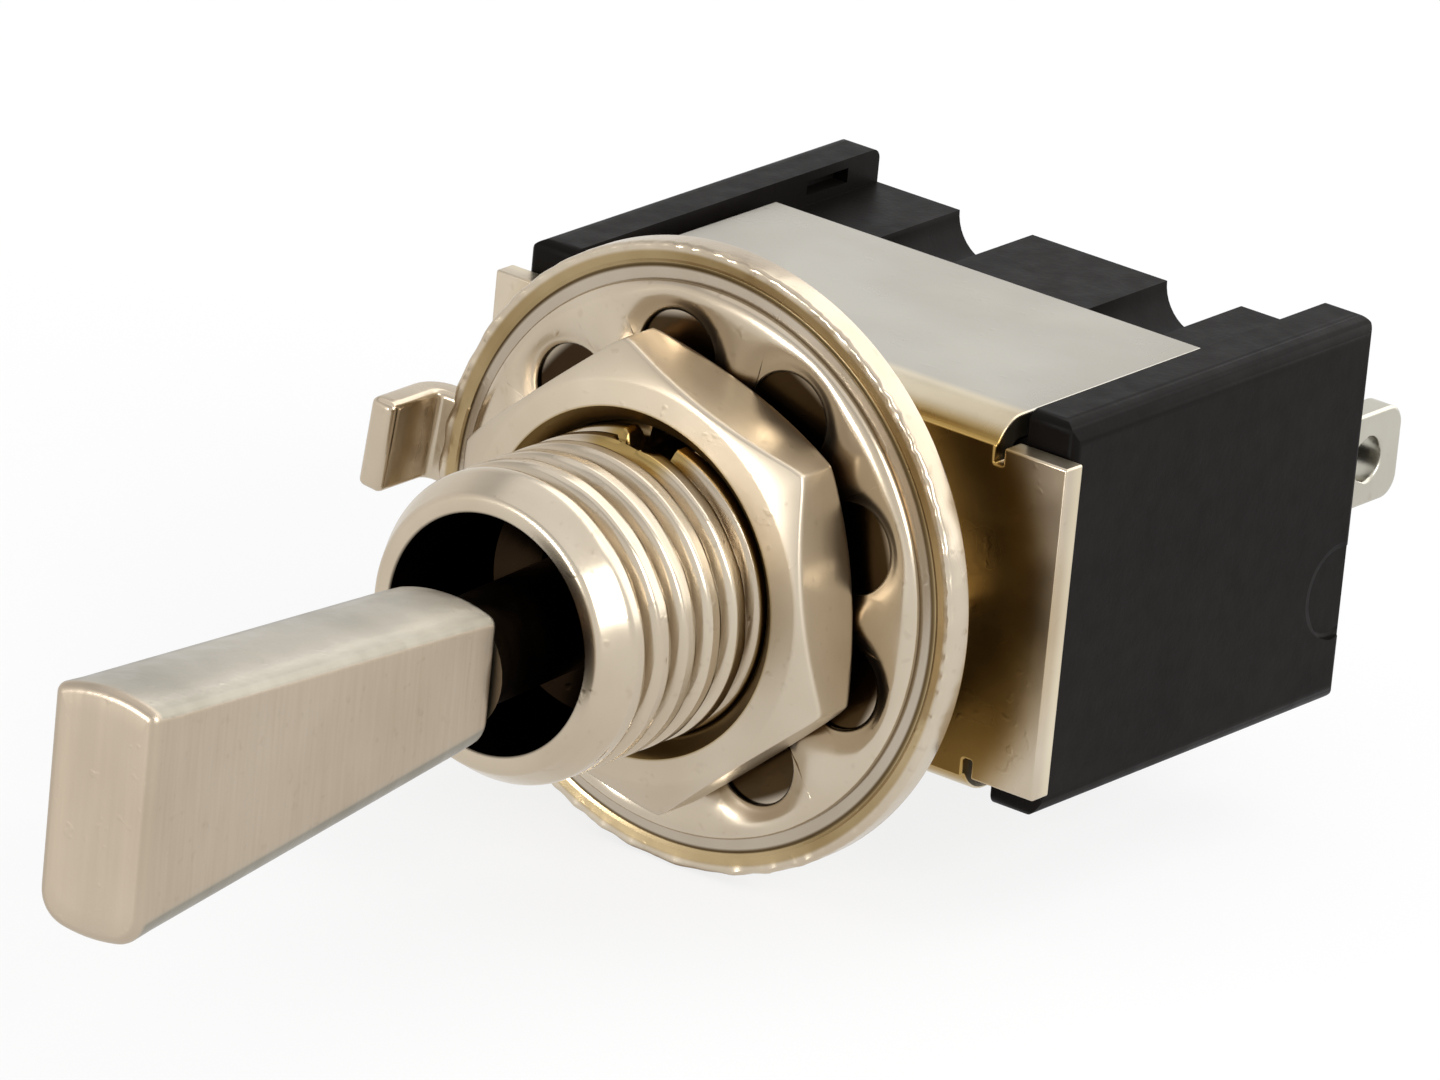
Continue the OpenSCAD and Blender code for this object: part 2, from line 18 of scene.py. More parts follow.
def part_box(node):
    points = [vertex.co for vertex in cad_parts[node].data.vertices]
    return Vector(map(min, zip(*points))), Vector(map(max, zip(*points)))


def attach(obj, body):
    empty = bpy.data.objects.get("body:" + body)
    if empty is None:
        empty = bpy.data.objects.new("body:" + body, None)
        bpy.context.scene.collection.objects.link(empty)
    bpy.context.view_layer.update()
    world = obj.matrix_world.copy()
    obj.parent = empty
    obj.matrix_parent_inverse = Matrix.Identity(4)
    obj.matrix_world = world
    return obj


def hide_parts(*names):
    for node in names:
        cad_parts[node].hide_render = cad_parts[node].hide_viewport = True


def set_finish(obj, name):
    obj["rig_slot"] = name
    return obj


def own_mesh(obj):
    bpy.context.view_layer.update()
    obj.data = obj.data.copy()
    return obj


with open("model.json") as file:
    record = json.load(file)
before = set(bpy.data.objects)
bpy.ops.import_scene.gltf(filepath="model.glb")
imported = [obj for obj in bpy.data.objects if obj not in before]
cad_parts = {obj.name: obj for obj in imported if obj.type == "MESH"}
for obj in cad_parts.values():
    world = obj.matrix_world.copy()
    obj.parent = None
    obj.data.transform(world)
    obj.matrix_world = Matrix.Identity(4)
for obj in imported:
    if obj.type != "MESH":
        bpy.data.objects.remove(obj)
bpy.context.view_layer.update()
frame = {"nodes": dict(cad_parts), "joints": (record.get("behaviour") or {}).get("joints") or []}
MM = 0.001
TURN = 2 * math.pi


def box_mm(node):
    """Lowest and highest corner of a CAD node, in millimetres."""
    low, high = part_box(node)
    return np.array(low) / MM, np.array(high) / MM


def joint(name):
    """The CAD frame's row for the joint of that name."""
    return next(row for row in frame["joints"] if row["name"] == name)


# %% [markdown]
# ## Camera
# The switch lies on its side, with its lever towards the viewer's left. A long lens from about
# 27 cm away keeps the far edges nearly parallel, so the sizes stay easy to compare. The camera is
# placed by its position and two of its axes, so that nothing has to be aimed by hand.

# %% Camera
LENS_MM = 366.75
CAMERA_PLACE = Vector((0.15088, -0.20913, 0.09617))
CAMERA_RIGHT = Vector((0.7853, 0.6123, 0.0914)).normalized()
CAMERA_BACK = Vector((0.5503, -0.7580, 0.3501)).normalized()

camera_data = bpy.data.cameras.new("camera")
camera_data.sensor_width = 36.0
camera_data.lens = LENS_MM
camera_data.clip_start = 0.01
camera_data.clip_end = 20.0
camera = bpy.data.objects.new("camera", camera_data)
bpy.context.scene.collection.objects.link(camera)

camera_up = CAMERA_BACK.cross(CAMERA_RIGHT).normalized()
camera_side = camera_up.cross(CAMERA_BACK)
camera.matrix_world = Matrix.Translation(CAMERA_PLACE) @ Matrix(
    (camera_side, camera_up, CAMERA_BACK)
).transposed().to_4x4()
bpy.context.scene.camera = camera
print("camera at", [round(v, 4) for v in camera.location], "m, lens", LENS_MM, "mm")

# %% [markdown]
# ## Surfaces from grids
# A turned or swept piece is a table of points: each row is a ring of points, and the rings follow
# one another along a profile. Quads join every point to its neighbours. A ring always closes on
# itself; the rows close too when the profile is a loop, and otherwise the two end rows shrink to
# a point that welding turns into one vertex. A weighted normal keeps broad flats flat in the
# light, right up to a small rounded edge.


# %% Mesh helpers
def link_mesh(name, mesh):
    """A new object at the origin that shows mesh."""
    made = bpy.data.objects.new(name, mesh)
    bpy.context.scene.collection.objects.link(made)
    return made


def ring_quads(rows, ring, loop_rows):
    """Corner indices of every quad of a rows x ring table whose rings close, row by row."""
    upper = np.arange(rows if loop_rows else rows - 1)[:, None]
    step = np.arange(ring)[None, :]
    lower = (upper + 1) % rows
    beside = (step + 1) % ring
    corners = [upper * ring + step, upper * ring + beside, lower * ring + beside, lower * ring + step]
    return np.stack(np.broadcast_arrays(*corners), axis=-1).reshape(-1, 4)


def mesh_from(name, points, quads):
    """A mesh from points in millimetres, (n, 3), and quads, (m, 4), written in whole arrays."""
    mesh = bpy.data.meshes.new(name)
    mesh.vertices.add(len(points))
    mesh.vertices.foreach_set("co", (points * MM).astype(np.float32).ravel())
    mesh.loops.add(quads.size)
    mesh.loops.foreach_set("vertex_index", quads.astype(np.int32).ravel())
    mesh.polygons.add(len(quads))
    mesh.polygons.foreach_set("loop_start", np.arange(0, quads.size, 4, dtype=np.int32))
    mesh.update(calc_edges=True)
    mesh.validate()
    return mesh


def weld(mesh, reach=2e-7):
    """Merges points closer than reach metres, and turns every face outwards."""
    shape = bmesh.new()
    shape.from_mesh(mesh)
    bmesh.ops.remove_doubles(shape, verts=shape.verts, dist=reach)
    bmesh.ops.dissolve_degenerate(shape, edges=shape.edges, dist=reach)
    bmesh.ops.recalc_face_normals(shape, faces=shape.faces)
    shape.to_mesh(mesh)
    shape.free()


def smooth(made, sharp_deg=40.0):
    """Smooth shading with true corners kept, weighted by face area."""
    made.data.shade_smooth()
    made.data.set_sharp_from_angle(angle=math.radians(sharp_deg))
    weigh = made.modifiers.new("weigh", "WEIGHTED_NORMAL")
    weigh.keep_sharp = True
    weigh.weight = 60
    return made


def skin(name, points, loop_rows=False, sharp_deg=40.0):
    """An object whose surface is a (rows, ring, 3) table of points in millimetres."""
    rows, ring = points.shape[:2]
    mesh = mesh_from(name, points.reshape(-1, 3), ring_quads(rows, ring, loop_rows))
    weld(mesh)
    made = smooth(link_mesh(name, mesh), sharp_deg)
    print(name, "has", len(mesh.polygons), "faces")
    return made


def join(name, pieces):
    """Several objects' meshes in one new object."""
    shape = bmesh.new()
    for piece in pieces:
        shape.from_mesh(piece.data)
    mesh = bpy.data.meshes.new(name)
    shape.to_mesh(mesh)
    shape.free()
    for piece in pieces:
        bpy.data.objects.remove(piece)
    return smooth(link_mesh(name, mesh))


# %% [markdown]
# ## Profiles
# A lathe profile is a short list of corners (distance along the axis, radius). Each corner can be
# given a rounding, which replaces it with an arc, because no turned edge is perfectly sharp: the
# thin highlight along each edge is what makes bare metal look real.


# %% Profile helpers
ARC_STEPS = 5


def rounded(corners, steps=ARC_STEPS):
    """A closed outline with round corners. Each corner is (a, b, radius).

    The arc touches both sides at radius / tan(half the corner's angle) from the corner, and its
    points go evenly around its centre.
    """
    points = np.array([c[:2] for c in corners], float)
    radii = np.array([c[2] for c in corners], float)
    to_last = np.roll(points, 1, axis=0) - points
    to_next = np.roll(points, -1, axis=0) - points
    last_len = np.linalg.norm(to_last, axis=1, keepdims=True)
    next_len = np.linalg.norm(to_next, axis=1, keepdims=True)
    to_last, to_next = to_last / last_len, to_next / next_len
    half = np.arccos(np.clip((to_last * to_next).sum(1), -1, 1)) / 2
    reach = radii / np.tan(half)
    middle = to_last + to_next
    length = np.maximum(np.linalg.norm(middle, axis=1, keepdims=True), 1e-9)
    centre = points + middle / length * (radii / np.sin(half))[:, None]
    start = points + to_last * reach[:, None] - centre
    end = points + to_next * reach[:, None] - centre
    share = np.linspace(0, 1, steps + 1)[None, :, None]
    spread = math.pi - 2 * half
    sine = np.maximum(np.sin(spread), 1e-9)[:, None, None]
    angle = spread[:, None, None]
    arc = (np.sin((1 - share) * angle) * start[:, None] + np.sin(share * angle) * end[:, None]) / sine
    return (centre[:, None] + arc).reshape(-1, 2)


def turned(along, radius, angles):
    """Points of a surface of revolution about the Y axis.

    A point is (radius cos t, along, radius sin t); along and radius are (rows,) or (rows, ring).
    """
    along = np.broadcast_to(along.reshape(len(along), -1), (len(along), len(angles)))
    radius = np.broadcast_to(radius.reshape(len(radius), -1), (len(radius), len(angles)))
    return np.stack([radius * np.cos(angles), along, radius * np.sin(angles)], axis=-1)


def ease(value):
    """0 below 0, 1 above 1, and a smooth S between: 3v^2 - 2v^3."""
    value = np.clip(value, 0, 1)
    return value * value * (3 - 2 * value)


def ripple(angles, waves, seed):
    """An uneven wave around a circle, between about -1 and 1: a sum of sines with set seeds."""
    draw = np.random.default_rng(seed)
    phase = draw.uniform(0, TURN, len(waves))
    size = draw.uniform(0.5, 1.0, len(waves))
    wave = (size * np.sin(np.multiply.outer(angles, waves) + phase)).sum(-1)
    return wave / size.sum()


# %% [markdown]
# ## Bushing
# The real bushing is turned from bar, threaded, slotted and plated. Its surface is one closed
# profile carried round the axis: the outside runs from the plate to the rim, and the inside comes
# back through the mouth, the lip and the ball's socket. The thread is a true helix: at each angle
# the groove's place along the axis shifts by the angle's share of the pitch. The keyway is a flat
# cut, so inside its outline the radius drops to floor / cos(angle from its middle).

# %% Bushing sizes
bushing_low, bushing_high = box_mm("bushing")
rim = bushing_low[1]
rivet_back = bushing_high[1]
THREAD_R = 3.0
PITCH = 0.75
THREAD_DEPTH = 0.34
THREAD_START = 0.30
THREAD_RUN_IN = 0.55
CREST_SHARE = 0.08
FLANK_SHARE = 0.52
RIM_BEVEL = 0.6
MOUTH_R = 2.29
MOUTH_END = -5.2
LIP_R = 1.53
LIP_FRONT = -4.71
LIP_BACK = -4.21
SOCKET_R = 1.95
SOCKET_FRONT = 1.21
SOCKET_BACK = 0.9
RIVET_BORE_R = 2.23
NECK_R = 2.65
SHEET = 0.5
PIVOT = -3.0
RING_TURN = math.radians(5.5)
KEY_TURN = math.radians(90) - RING_TURN
KEY_HALF = 0.55
KEY_FLOOR = 2.52
KEY_END = -4.85
KEY_RUN_OUT = 0.3
NO_CUT = 9.0
print("bushing", round(rivet_back - rim, 2), "mm long,", 2 * THREAD_R, "mm across, pitch", PITCH)


# %% Thread and keyway
def thread_cut(along, angles):
    """Depth of the thread below its crest.

    The phase is how far a point is past a crest, in pitches: -along / pitch - angle / turn. A
    triangle wave of the phase, eased at crest and root, gives a rolled thread's soft form.
    """
    phase = np.mod(-along[:, None] / PITCH - angles[None, :] / TURN, 1)
    climb = np.abs(2 * phase - 1)
    shape = ease((climb - CREST_SHARE) / FLANK_SHARE)
    run_in = ease((along - (rim + THREAD_START)) / THREAD_RUN_IN)[:, None]
    return THREAD_DEPTH * (1 - shape) * run_in


def keyway_floor(along, angles):
    """Radius left by the keyway, or NO_CUT on the bushing's other side.

    Its outline is a slot: the distance from the slot's middle line, which ends half a width
    before its front end, is less than half its width.
    """
    turn = np.mod(angles - KEY_TURN + math.pi, TURN) - math.pi
    across = THREAD_R * np.sin(turn)[None, :]
    past = np.minimum(along - (KEY_END + KEY_HALF), 0)[:, None]
    outside = np.sqrt(across**2 + past**2) - KEY_HALF
    facing = np.cos(turn) > 0.5
    run_out = KEY_RUN_OUT * ease((KEY_END + 0.65 - along) / 0.6)[:, None]
    floor = (KEY_FLOOR + run_out) / np.maximum(np.cos(turn), 0.5)
    wall = ease((outside + 0.06) / 0.16)
    return np.where(facing[None, :], floor + wall * 1.2, NO_CUT)


# %% Bushing
def bushing_rows():
    """Rows along the bushing's closed profile, as (along, radius) tables."""
    bevel_r = THREAD_R - 0.6 * RIM_BEVEL
    outer = np.linspace(rim + RIM_BEVEL + 0.12, 0, 136)
    outside_r = np.full(len(outer), THREAD_R)
    # The first corner only aims the second, so its own arc, steps + 1 points, is left out.
    mouth = rounded([(0, THREAD_R, 0.01), (rim + RIM_BEVEL, THREAD_R, 0.4), (rim, bevel_r, 0.18),
                     (rim, MOUTH_R, 0.05), (MOUTH_END, MOUTH_R, 0.02), (LIP_FRONT, LIP_R, 0.05),
                     (LIP_BACK, LIP_R, 0.02)])[ARC_STEPS + 1:]
    ball = np.linspace(math.acos(SOCKET_FRONT / SOCKET_R), math.acos(-SOCKET_BACK / SOCKET_R), 18)
    rivet = rounded([(rivet_back, RIVET_BORE_R, 0.05), (rivet_back, THREAD_R, 0.2),
                     (SHEET, THREAD_R, 0.05), (SHEET, NECK_R, 0.02), (0, NECK_R, 0.02)])
    along = np.concatenate([outer[::-1], mouth[:, 0], PIVOT - SOCKET_R * np.cos(ball), rivet[:, 0]])
    radius = np.concatenate([outside_r, mouth[:, 1], SOCKET_R * np.sin(ball), rivet[:, 1]])
    return along, radius, len(outer)


def make_bushing():
    """The bushing, with its helical thread and keyway worked into the outer rows."""
    angles = np.linspace(0, TURN, 288, endpoint=False)
    along, radius, outer = bushing_rows()
    radius = np.repeat(radius[:, None], len(angles), axis=1)
    cut = thread_cut(along[:outer], angles)
    floor = keyway_floor(along[:outer], angles)
    radius[:outer] = np.minimum(radius[:outer] - cut, floor)
    return skin("bushing_threaded", turned(along, radius, angles), loop_rows=True, sharp_deg=60)


bushing = make_bushing()
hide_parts("bushing")
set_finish(bushing, "nickel_turned")
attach(bushing, "switch_body")

# %% [markdown]
# ## Nuts
# A nut is a hexagon cut by cones. In polar form the flat's distance is half the width across the
# flats over cos(angle from the flat's middle), and where a cone meets it the edge drops back by
# the extra radius times the cone's slope: that gives the curved edges of a real nut. The corners
# are blended by a soft minimum with a circle, so that they catch the light.

# %% Nut sizes
NUT_HALF = 4.0
NUT_FACE_R = 3.92
NUT_CHAMFER = math.tan(math.radians(30))
NUT_CORNER = 0.05
NUT_SOFT = 0.05
NUT_LAND = 0.12
FRONT_NUT_TURN = 11.5
REAR_NUT_TURN = 30
SINK_R = 3.37
THREAD_ROOM = 3.02
print("nuts", 2 * NUT_HALF, "mm across their flats")


# %% Hexagon
def hex_radius(angles, turn_deg):
    """Distance to a hexagon's side, with its corners eased: h / cos(a), held near the corner."""
    sixth = TURN / 6
    off = np.mod(angles - math.radians(turn_deg) + sixth / 2, sixth) - sixth / 2
    straight = NUT_HALF / np.cos(off)
    corner = NUT_HALF / math.cos(sixth / 2) - NUT_CORNER
    gap = (corner - straight) / NUT_CORNER
    return straight - NUT_CORNER * np.log1p(np.exp(-gap)) * 0.6


def nut_angles(turn_deg):
    """Ring angles that crowd towards the hexagon's corners."""
    share = np.linspace(-1, 1, 33)[:-1]
    crowd = np.sin(share * math.pi / 2) * 0.75 + share * 0.25
    corners = np.arange(6)[:, None] * 60 + turn_deg + 30
    return np.radians(np.sort((corners - 30 + crowd * 30).ravel()))


# %% Nuts
def make_nut(name, node, turn_deg, bore_r, slope_deg):
    """A nut in place of a CAD nut.

    Its front face falls back by slope_deg from bore_r, where a 45 degree cone runs to the thread.
    """
    low, high = box_mm(node)
    front, back = low[1], high[1]
    angles = nut_angles(turn_deg)
    side = hex_radius(angles, turn_deg)
    sink = bore_r - THREAD_ROOM
    face_r = np.array([bore_r, bore_r + 0.04, bore_r + 0.16, 3.72, 3.84, NUT_FACE_R])
    face_y = front + (face_r - bore_r) * math.tan(math.radians(slope_deg))
    drop = face_y[-1] + (side - NUT_FACE_R) * NUT_CHAMFER
    rise = back - (side - NUT_FACE_R) * NUT_CHAMFER
    rows = [(front + sink * (1 - t), THREAD_ROOM + sink * t) for t in np.linspace(0, 1, 5)[:-1]]
    rows += list(zip(face_y, face_r))
    rows += [(drop - NUT_SOFT * 0.6, side - NUT_SOFT), (drop - NUT_SOFT * 0.2, side - NUT_SOFT * 0.3)]
    rows += [(drop + NUT_SOFT, side), (drop + NUT_LAND, side)]
    rows += [(rise - NUT_LAND, side), (rise - NUT_SOFT, side)]
    rows += [(rise + NUT_SOFT * 0.2, side - NUT_SOFT * 0.3), (rise + NUT_SOFT * 0.6, side - NUT_SOFT)]
    rows += [(back, NUT_FACE_R), (back, 3.5), (back, THREAD_ROOM + 0.1), (back - 0.08, THREAD_ROOM)]
    spread = [np.broadcast_arrays(a, r, angles) for a, r in rows]
    along = np.array([row[0] for row in spread])
    radius = np.array([row[1] for row in spread])
    return skin(name, turned(along, radius, angles), loop_rows=True, sharp_deg=50)


front_nut = make_nut("front_nut_faced", "front_nut", FRONT_NUT_TURN, SINK_R, 7)
rear_nut = make_nut("rear_nut_faced", "rear_nut", REAR_NUT_TURN, THREAD_ROOM + 0.12, 1)
for nut, node in ((front_nut, "front_nut"), (rear_nut, "rear_nut")):
    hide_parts(node)
    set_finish(nut, "nickel_turned")
    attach(nut, "switch_body")

# %% [markdown]
# ## Toothed lock washer
# The washer is stamped from thin sheet: nine gaps leave nine teeth that point inwards. The press
# rolls the edge of each gap back a little, and that soft lip is what one sees around each gap.
# The section is a thin rounded strip from the inner edge to the rim. The inner edge is the ray's
# far crossing with the gap's circle inside a gap, and the tooth's end elsewhere.

# %% Lock washer sizes and gaps
washer_low, washer_high = box_mm("lock_washer")
WASHER_R = washer_high[0]
TEETH = 9
FIRST_GAP = 20.3
GAP_R = 0.88
GAP_C = 3.92
TOOTH_END = 3.15
WASHER_SOFT = 0.11
RIM_ROLL_R = 0.30
RIM_ROLL_Y = 0.19
LIP_RISE = 0.15
LIP_REACH = 0.30


def washer_angles():
    """Ring angles, crowded beside each gap's two sides."""
    pitch = TURN / TEETH
    side = math.asin(GAP_R / GAP_C)
    inside = np.sin(np.linspace(-math.pi / 2, math.pi / 2, 33)) * (side - 1e-4)
    outside = side + (pitch - 2 * side) * (1 - np.cos(np.linspace(0, math.pi, 17))) / 2
    one = np.concatenate([inside, outside[:-1] + 1e-4])
    middles = math.radians(FIRST_GAP) + np.arange(TEETH) * pitch
    return (middles[:, None] + one).ravel()


def gap_edge(off):
    """Outer crossing of a ray, off radians from a gap's middle, with the gap's circle."""
    across = GAP_C * np.sin(off)
    return GAP_C * np.cos(off) + np.sqrt(np.maximum(GAP_R**2 - across**2, 0))


# %% Lock washer
def make_washer():
    """The washer: a rounded strip section from the inner edge to the rim, with rolled lips.

    A lip falls off with the distance d past the gap's edge as exp(-(d / reach)^2).
    """
    angles = washer_angles()
    pitch = TURN / TEETH
    off = np.mod(angles - math.radians(FIRST_GAP) + pitch / 2, pitch) - pitch / 2
    inside = np.abs(off) < math.asin(GAP_R / GAP_C)
    inner = np.where(inside, gap_edge(off), TOOTH_END)
    thick = washer_high[1] - washer_low[1]
    across = np.array([0.0, 0.03, 0.08, 0.16, 0.26, 0.4, 0.6, 0.8, 0.93, 1.0])[:, None]
    quarter = np.linspace(0, math.pi / 2, 9)[1:, None]
    half = np.linspace(0, math.pi, 9)[1:-1, None]
    start = inner + WASHER_SOFT
    front_r = start + (WASHER_R - RIM_ROLL_R - inner - WASHER_SOFT) * across
    edge_r = WASHER_R - RIM_ROLL_R + RIM_ROLL_R * np.sin(quarter) + 0 * inner
    edge_y = washer_low[1] + RIM_ROLL_Y * (1 - np.cos(quarter)) + 0 * inner
    back_r = start + (WASHER_R - 0.03 - inner - WASHER_SOFT) * across[::-1]
    inner_r = start - WASHER_SOFT * np.sin(half)
    inner_y = washer_high[1] - thick * (1 - np.cos(half)) / 2 + 0 * inner
    radius = np.concatenate([front_r, edge_r, back_r, inner_r])
    along = np.concatenate([0 * front_r + washer_low[1], edge_y, 0 * back_r + washer_high[1], inner_y])
    x = radius * np.cos(off)
    z = radius * np.sin(off)
    near = np.sqrt((x - GAP_C) ** 2 + z**2) - GAP_R
    roll = LIP_RISE * np.exp(-((np.maximum(near, 0) / LIP_REACH) ** 2))
    front = (washer_high[1] - along) / thick
    along = along + roll * front
    return skin("lock_washer_stamped", turned(along, radius, angles), loop_rows=True, sharp_deg=55)


washer = make_washer()
print("washer", TEETH, "teeth,", round(2 * WASHER_R, 2), "mm across")
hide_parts("lock_washer")
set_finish(washer, "nickel_turned")
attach(washer, "switch_body")

# %% [markdown]
# ## Locating ring
# A thick washer, blanked from strip: its front edge keeps the press's torn burr, which shows as a
# bumpy bright line. The ring is a rounded section carried round the axis, with an uneven wave
# added to the front edge. The tab is a second strip that leaves the rim, bends forward and keys
# into the panel, and a small key on the inside sits in the bushing's keyway.

# %% Ring sizes
RING_R = box_mm("locating_ring")[1][0]
RING_FRONT = -2.15
RING_BACK = -1.58
RING_MIDDLE = (RING_BACK + RING_FRONT) / 2
BURR_REACH = 0.13
BURR_FORWARD = 0.065
BURR_OUT = 0.03
TAB_HALF = 0.925
TAB_SOFT = 0.15
TAB_LENGTH = 1.4
KEY_ROOM = 0.04
print("ring", round(2 * RING_R, 2), "mm across,", round(RING_BACK - RING_FRONT, 2), "mm thick")


# %% Ring
def make_ring():
    """The ring's own closed section, with a burr on its front outer edge."""
    angles = np.linspace(0, TURN, 360, endpoint=False)
    outline = rounded([(RING_BACK, THREAD_ROOM, 0.05), (RING_FRONT, THREAD_ROOM, 0.05),
                       (RING_FRONT, RING_R - 0.46, 0.02), (RING_FRONT + 0.05, RING_R - 0.41, 0.02),
                       (RING_FRONT + 0.02, RING_R - 0.34, 0.03), (RING_FRONT, RING_R - 0.2, 0.02),
                       (RING_FRONT, RING_R, 0.10), (RING_BACK, RING_R, 0.07)], steps=4)
    along = np.repeat(outline[:, :1], len(angles), axis=1)
    radius = np.repeat(outline[:, 1:], len(angles), axis=1)
    at_edge = np.exp(-(((along - RING_FRONT) / BURR_REACH) ** 2 + ((radius - RING_R) / BURR_REACH) ** 2))
    coarse = ripple(angles, np.arange(23, 61, 3), 4)
    fine = ripple(angles, np.arange(71, 150, 7), 9)
    burr = 0.4 + 1.1 * coarse + 1.1 * fine
    along = along - at_edge * BURR_FORWARD * burr
    radius = radius + at_edge * BURR_OUT * (coarse - fine)
    return skin("ring_body", turned(along, np.minimum(radius, RING_R + 0.01), angles), loop_rows=True)


# %% Flat strip
def strip(name, path, half_width, half_thick, soft, buried=0):
    """A flat strip carried along a path of (x, y) points, closed at both ends.

    The section is a core rectangle plus its corner's normal times soft. At the two ends the
    normal's share follows a quarter circle, so the ends are rounded like the sides, and the last
    ring shrinks to a point. The first buried rows are a little thinner, inside another piece.
    """
    path = np.array(path, float)
    swing = np.linspace(0, math.pi / 2, 5)
    ahead = np.gradient(path, axis=0)
    ahead /= np.linalg.norm(ahead, axis=1, keepdims=True)
    first = path[0] + ahead[0] * (soft * (1 - np.sin(swing)))[:, None]
    last = path[-1] - ahead[-1] * (soft * (1 - np.sin(swing[::-1])))[:, None]
    grow = np.concatenate([[0], np.cos(swing[::-1]), np.ones(len(path) - 2), np.cos(swing), [0]])
    fill = np.concatenate([[0], np.ones(len(grow) - 2), [0]])
    path = np.concatenate([path[:1], first[::-1], path[1:-1], last[::-1], path[-1:]])
    ahead = np.concatenate([ahead[:1]] * 6 + [ahead[1:-1]] + [ahead[-1:]] * 6)
    normal = np.stack([-ahead[:, 1], ahead[:, 0]], axis=1)
    turn = np.repeat(np.arange(4) * math.pi / 2, 6) + np.tile(np.linspace(0, math.pi / 2, 6), 4)
    corner = np.repeat([[1, 1], [-1, 1], [-1, -1], [1, -1]], 6, axis=0)
    core = corner * [half_thick - soft, half_width - soft]
    around = np.stack([np.cos(turn), np.sin(turn)], axis=-1) * soft
    section = core[None] * fill[:, None, None] + around[None] * grow[:, None, None]
    section[:6 + buried, :, 0] *= 0.9
    points = path[:, None, :] + normal[:, None, :] * section[..., :1]
    return skin(name, np.concatenate([points, section[..., 1:]], axis=-1))


# %% Tab, key and the whole locating ring
def make_tab():
    """The tab: out along the ring, round a bend and forwards, turned to its place on the rim."""
    half = (RING_BACK - RING_FRONT) / 2
    bend_r = TAB_SOFT + half
    bend_x = RING_R - 0.06 + TAB_SOFT
    turn = np.linspace(0, math.pi / 2, 9)
    arc_x = -(bend_x + bend_r * np.sin(turn))
    arc_y = RING_FRONT - TAB_SOFT + bend_r * np.cos(turn)
    tip = RING_FRONT - TAB_LENGTH
    root = [(-(RING_R - inset), RING_MIDDLE) for inset in (0.9, 0.6, 0.3, 0.05)]
    path = root + list(zip(arc_x, arc_y)) + [(arc_x[-1], y) for y in (-2.6, -3.0, tip + 0.3, tip)]
    tab = strip("ring_tab", path, TAB_HALF, half, TAB_SOFT, buried=3)
    tab.data.transform(Matrix.Rotation(RING_TURN, 4, "Y"))
    return tab


def make_key():
    """The small key that stands into the bushing's keyway."""
    path = [(x, RING_MIDDLE) for x in (KEY_FLOOR + KEY_ROOM, 2.8, 3.05, 3.3)]
    key = strip("ring_key", path, KEY_HALF - KEY_ROOM, 0.26, 0.06)
    key.data.transform(Matrix.Rotation(-KEY_TURN, 4, "Y"))
    return key


ring = join("locating_ring_blanked", [make_ring(), make_tab(), make_key()])
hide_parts("locating_ring")
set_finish(ring, "nickel_turned")
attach(ring, "switch_body")

# %% [markdown]
# ## Lever
# The lever is turned, then two broad flats are ground on its handle, which widens to the tip. The
# handle's section is a slab with crowned narrow sides. Every outline point is a core point plus
# its normal times the edge radius, so an edge is rounded by turning that normal, and the end is
# rounded by shrinking it: the same quarter circle then runs round the whole end. Behind the
# shoulder the rows become circles: shank, pivot ball and hollow tail.

# %% Lever sizes
slide = joint("plunger_slide")
LEAN = math.atan2(slide["axis"][0], -slide["axis"][1])
PIVOT_POINT = np.array(joint("lever_tilt")["pos_m"]) / MM
TIP = 17.78
SHOULDER = 7.1
HALF_T = 1.125
TIP_W = 2.39
ROOT_W = 1.45
CROWN_R = 3.0
EDGE = 0.19
TOP_FILLET = 0.03
LOW_FILLET = 0.46
SHANK_R = 1.05
BALL_R = 1.9
TAIL_R = 1.0
TAIL_END = 5.4
BORE_R = 0.73
BORE_START = 1.0
print("lever", TIP + TAIL_END, "mm long, leaning", round(math.degrees(LEAN), 1), "degrees")


# %% Section of the handle
def paddle_core(half_width, fillet, top):
    """Core points of one crowned half of the handle's section, from the +X side to the -X side.

    The core lies one edge radius inside the surface: flats at h - e, and a crown of radius R - e
    about the point w - R. The corner between them is a fillet circle that touches both, and the
    normal turns from the flat's, along the fillet, to the crown's.
    """
    inner_r, inner_h = CROWN_R - EDGE, HALF_T - EDGE
    fillet_x = inner_h - fillet
    fillet_z = math.sqrt((inner_r - fillet) ** 2 - fillet_x**2)
    corner = math.atan2(fillet_z, fillet_x)
    turn = np.concatenate([np.zeros(7), np.linspace(0, corner, 9)[1:],
                           np.linspace(corner, math.pi - corner, 21)[1:-1],
                           np.linspace(math.pi - corner, math.pi, 9)[:-1], np.full(7, math.pi)])
    crown = (turn >= corner) & (turn <= math.pi - corner)
    side = np.where(turn < math.pi / 2, fillet_x, -fillet_x)
    x = np.where(crown, inner_r * np.cos(turn), side + fillet * np.cos(turn))
    rise = np.where(crown, inner_r * np.sin(turn), fillet_z + fillet * np.sin(turn))
    flat = np.ones_like(turn)
    flat[:7] = np.linspace(0, 1, 7)
    flat[-7:] = np.linspace(1, 0, 7)
    z = flat[None, :] * (half_width[:, None] - CROWN_R + rise[None, :])
    core = np.stack([np.broadcast_to(x, z.shape), z * top], axis=-1)
    return core, np.stack([np.cos(turn), np.sin(turn) * top], axis=-1)


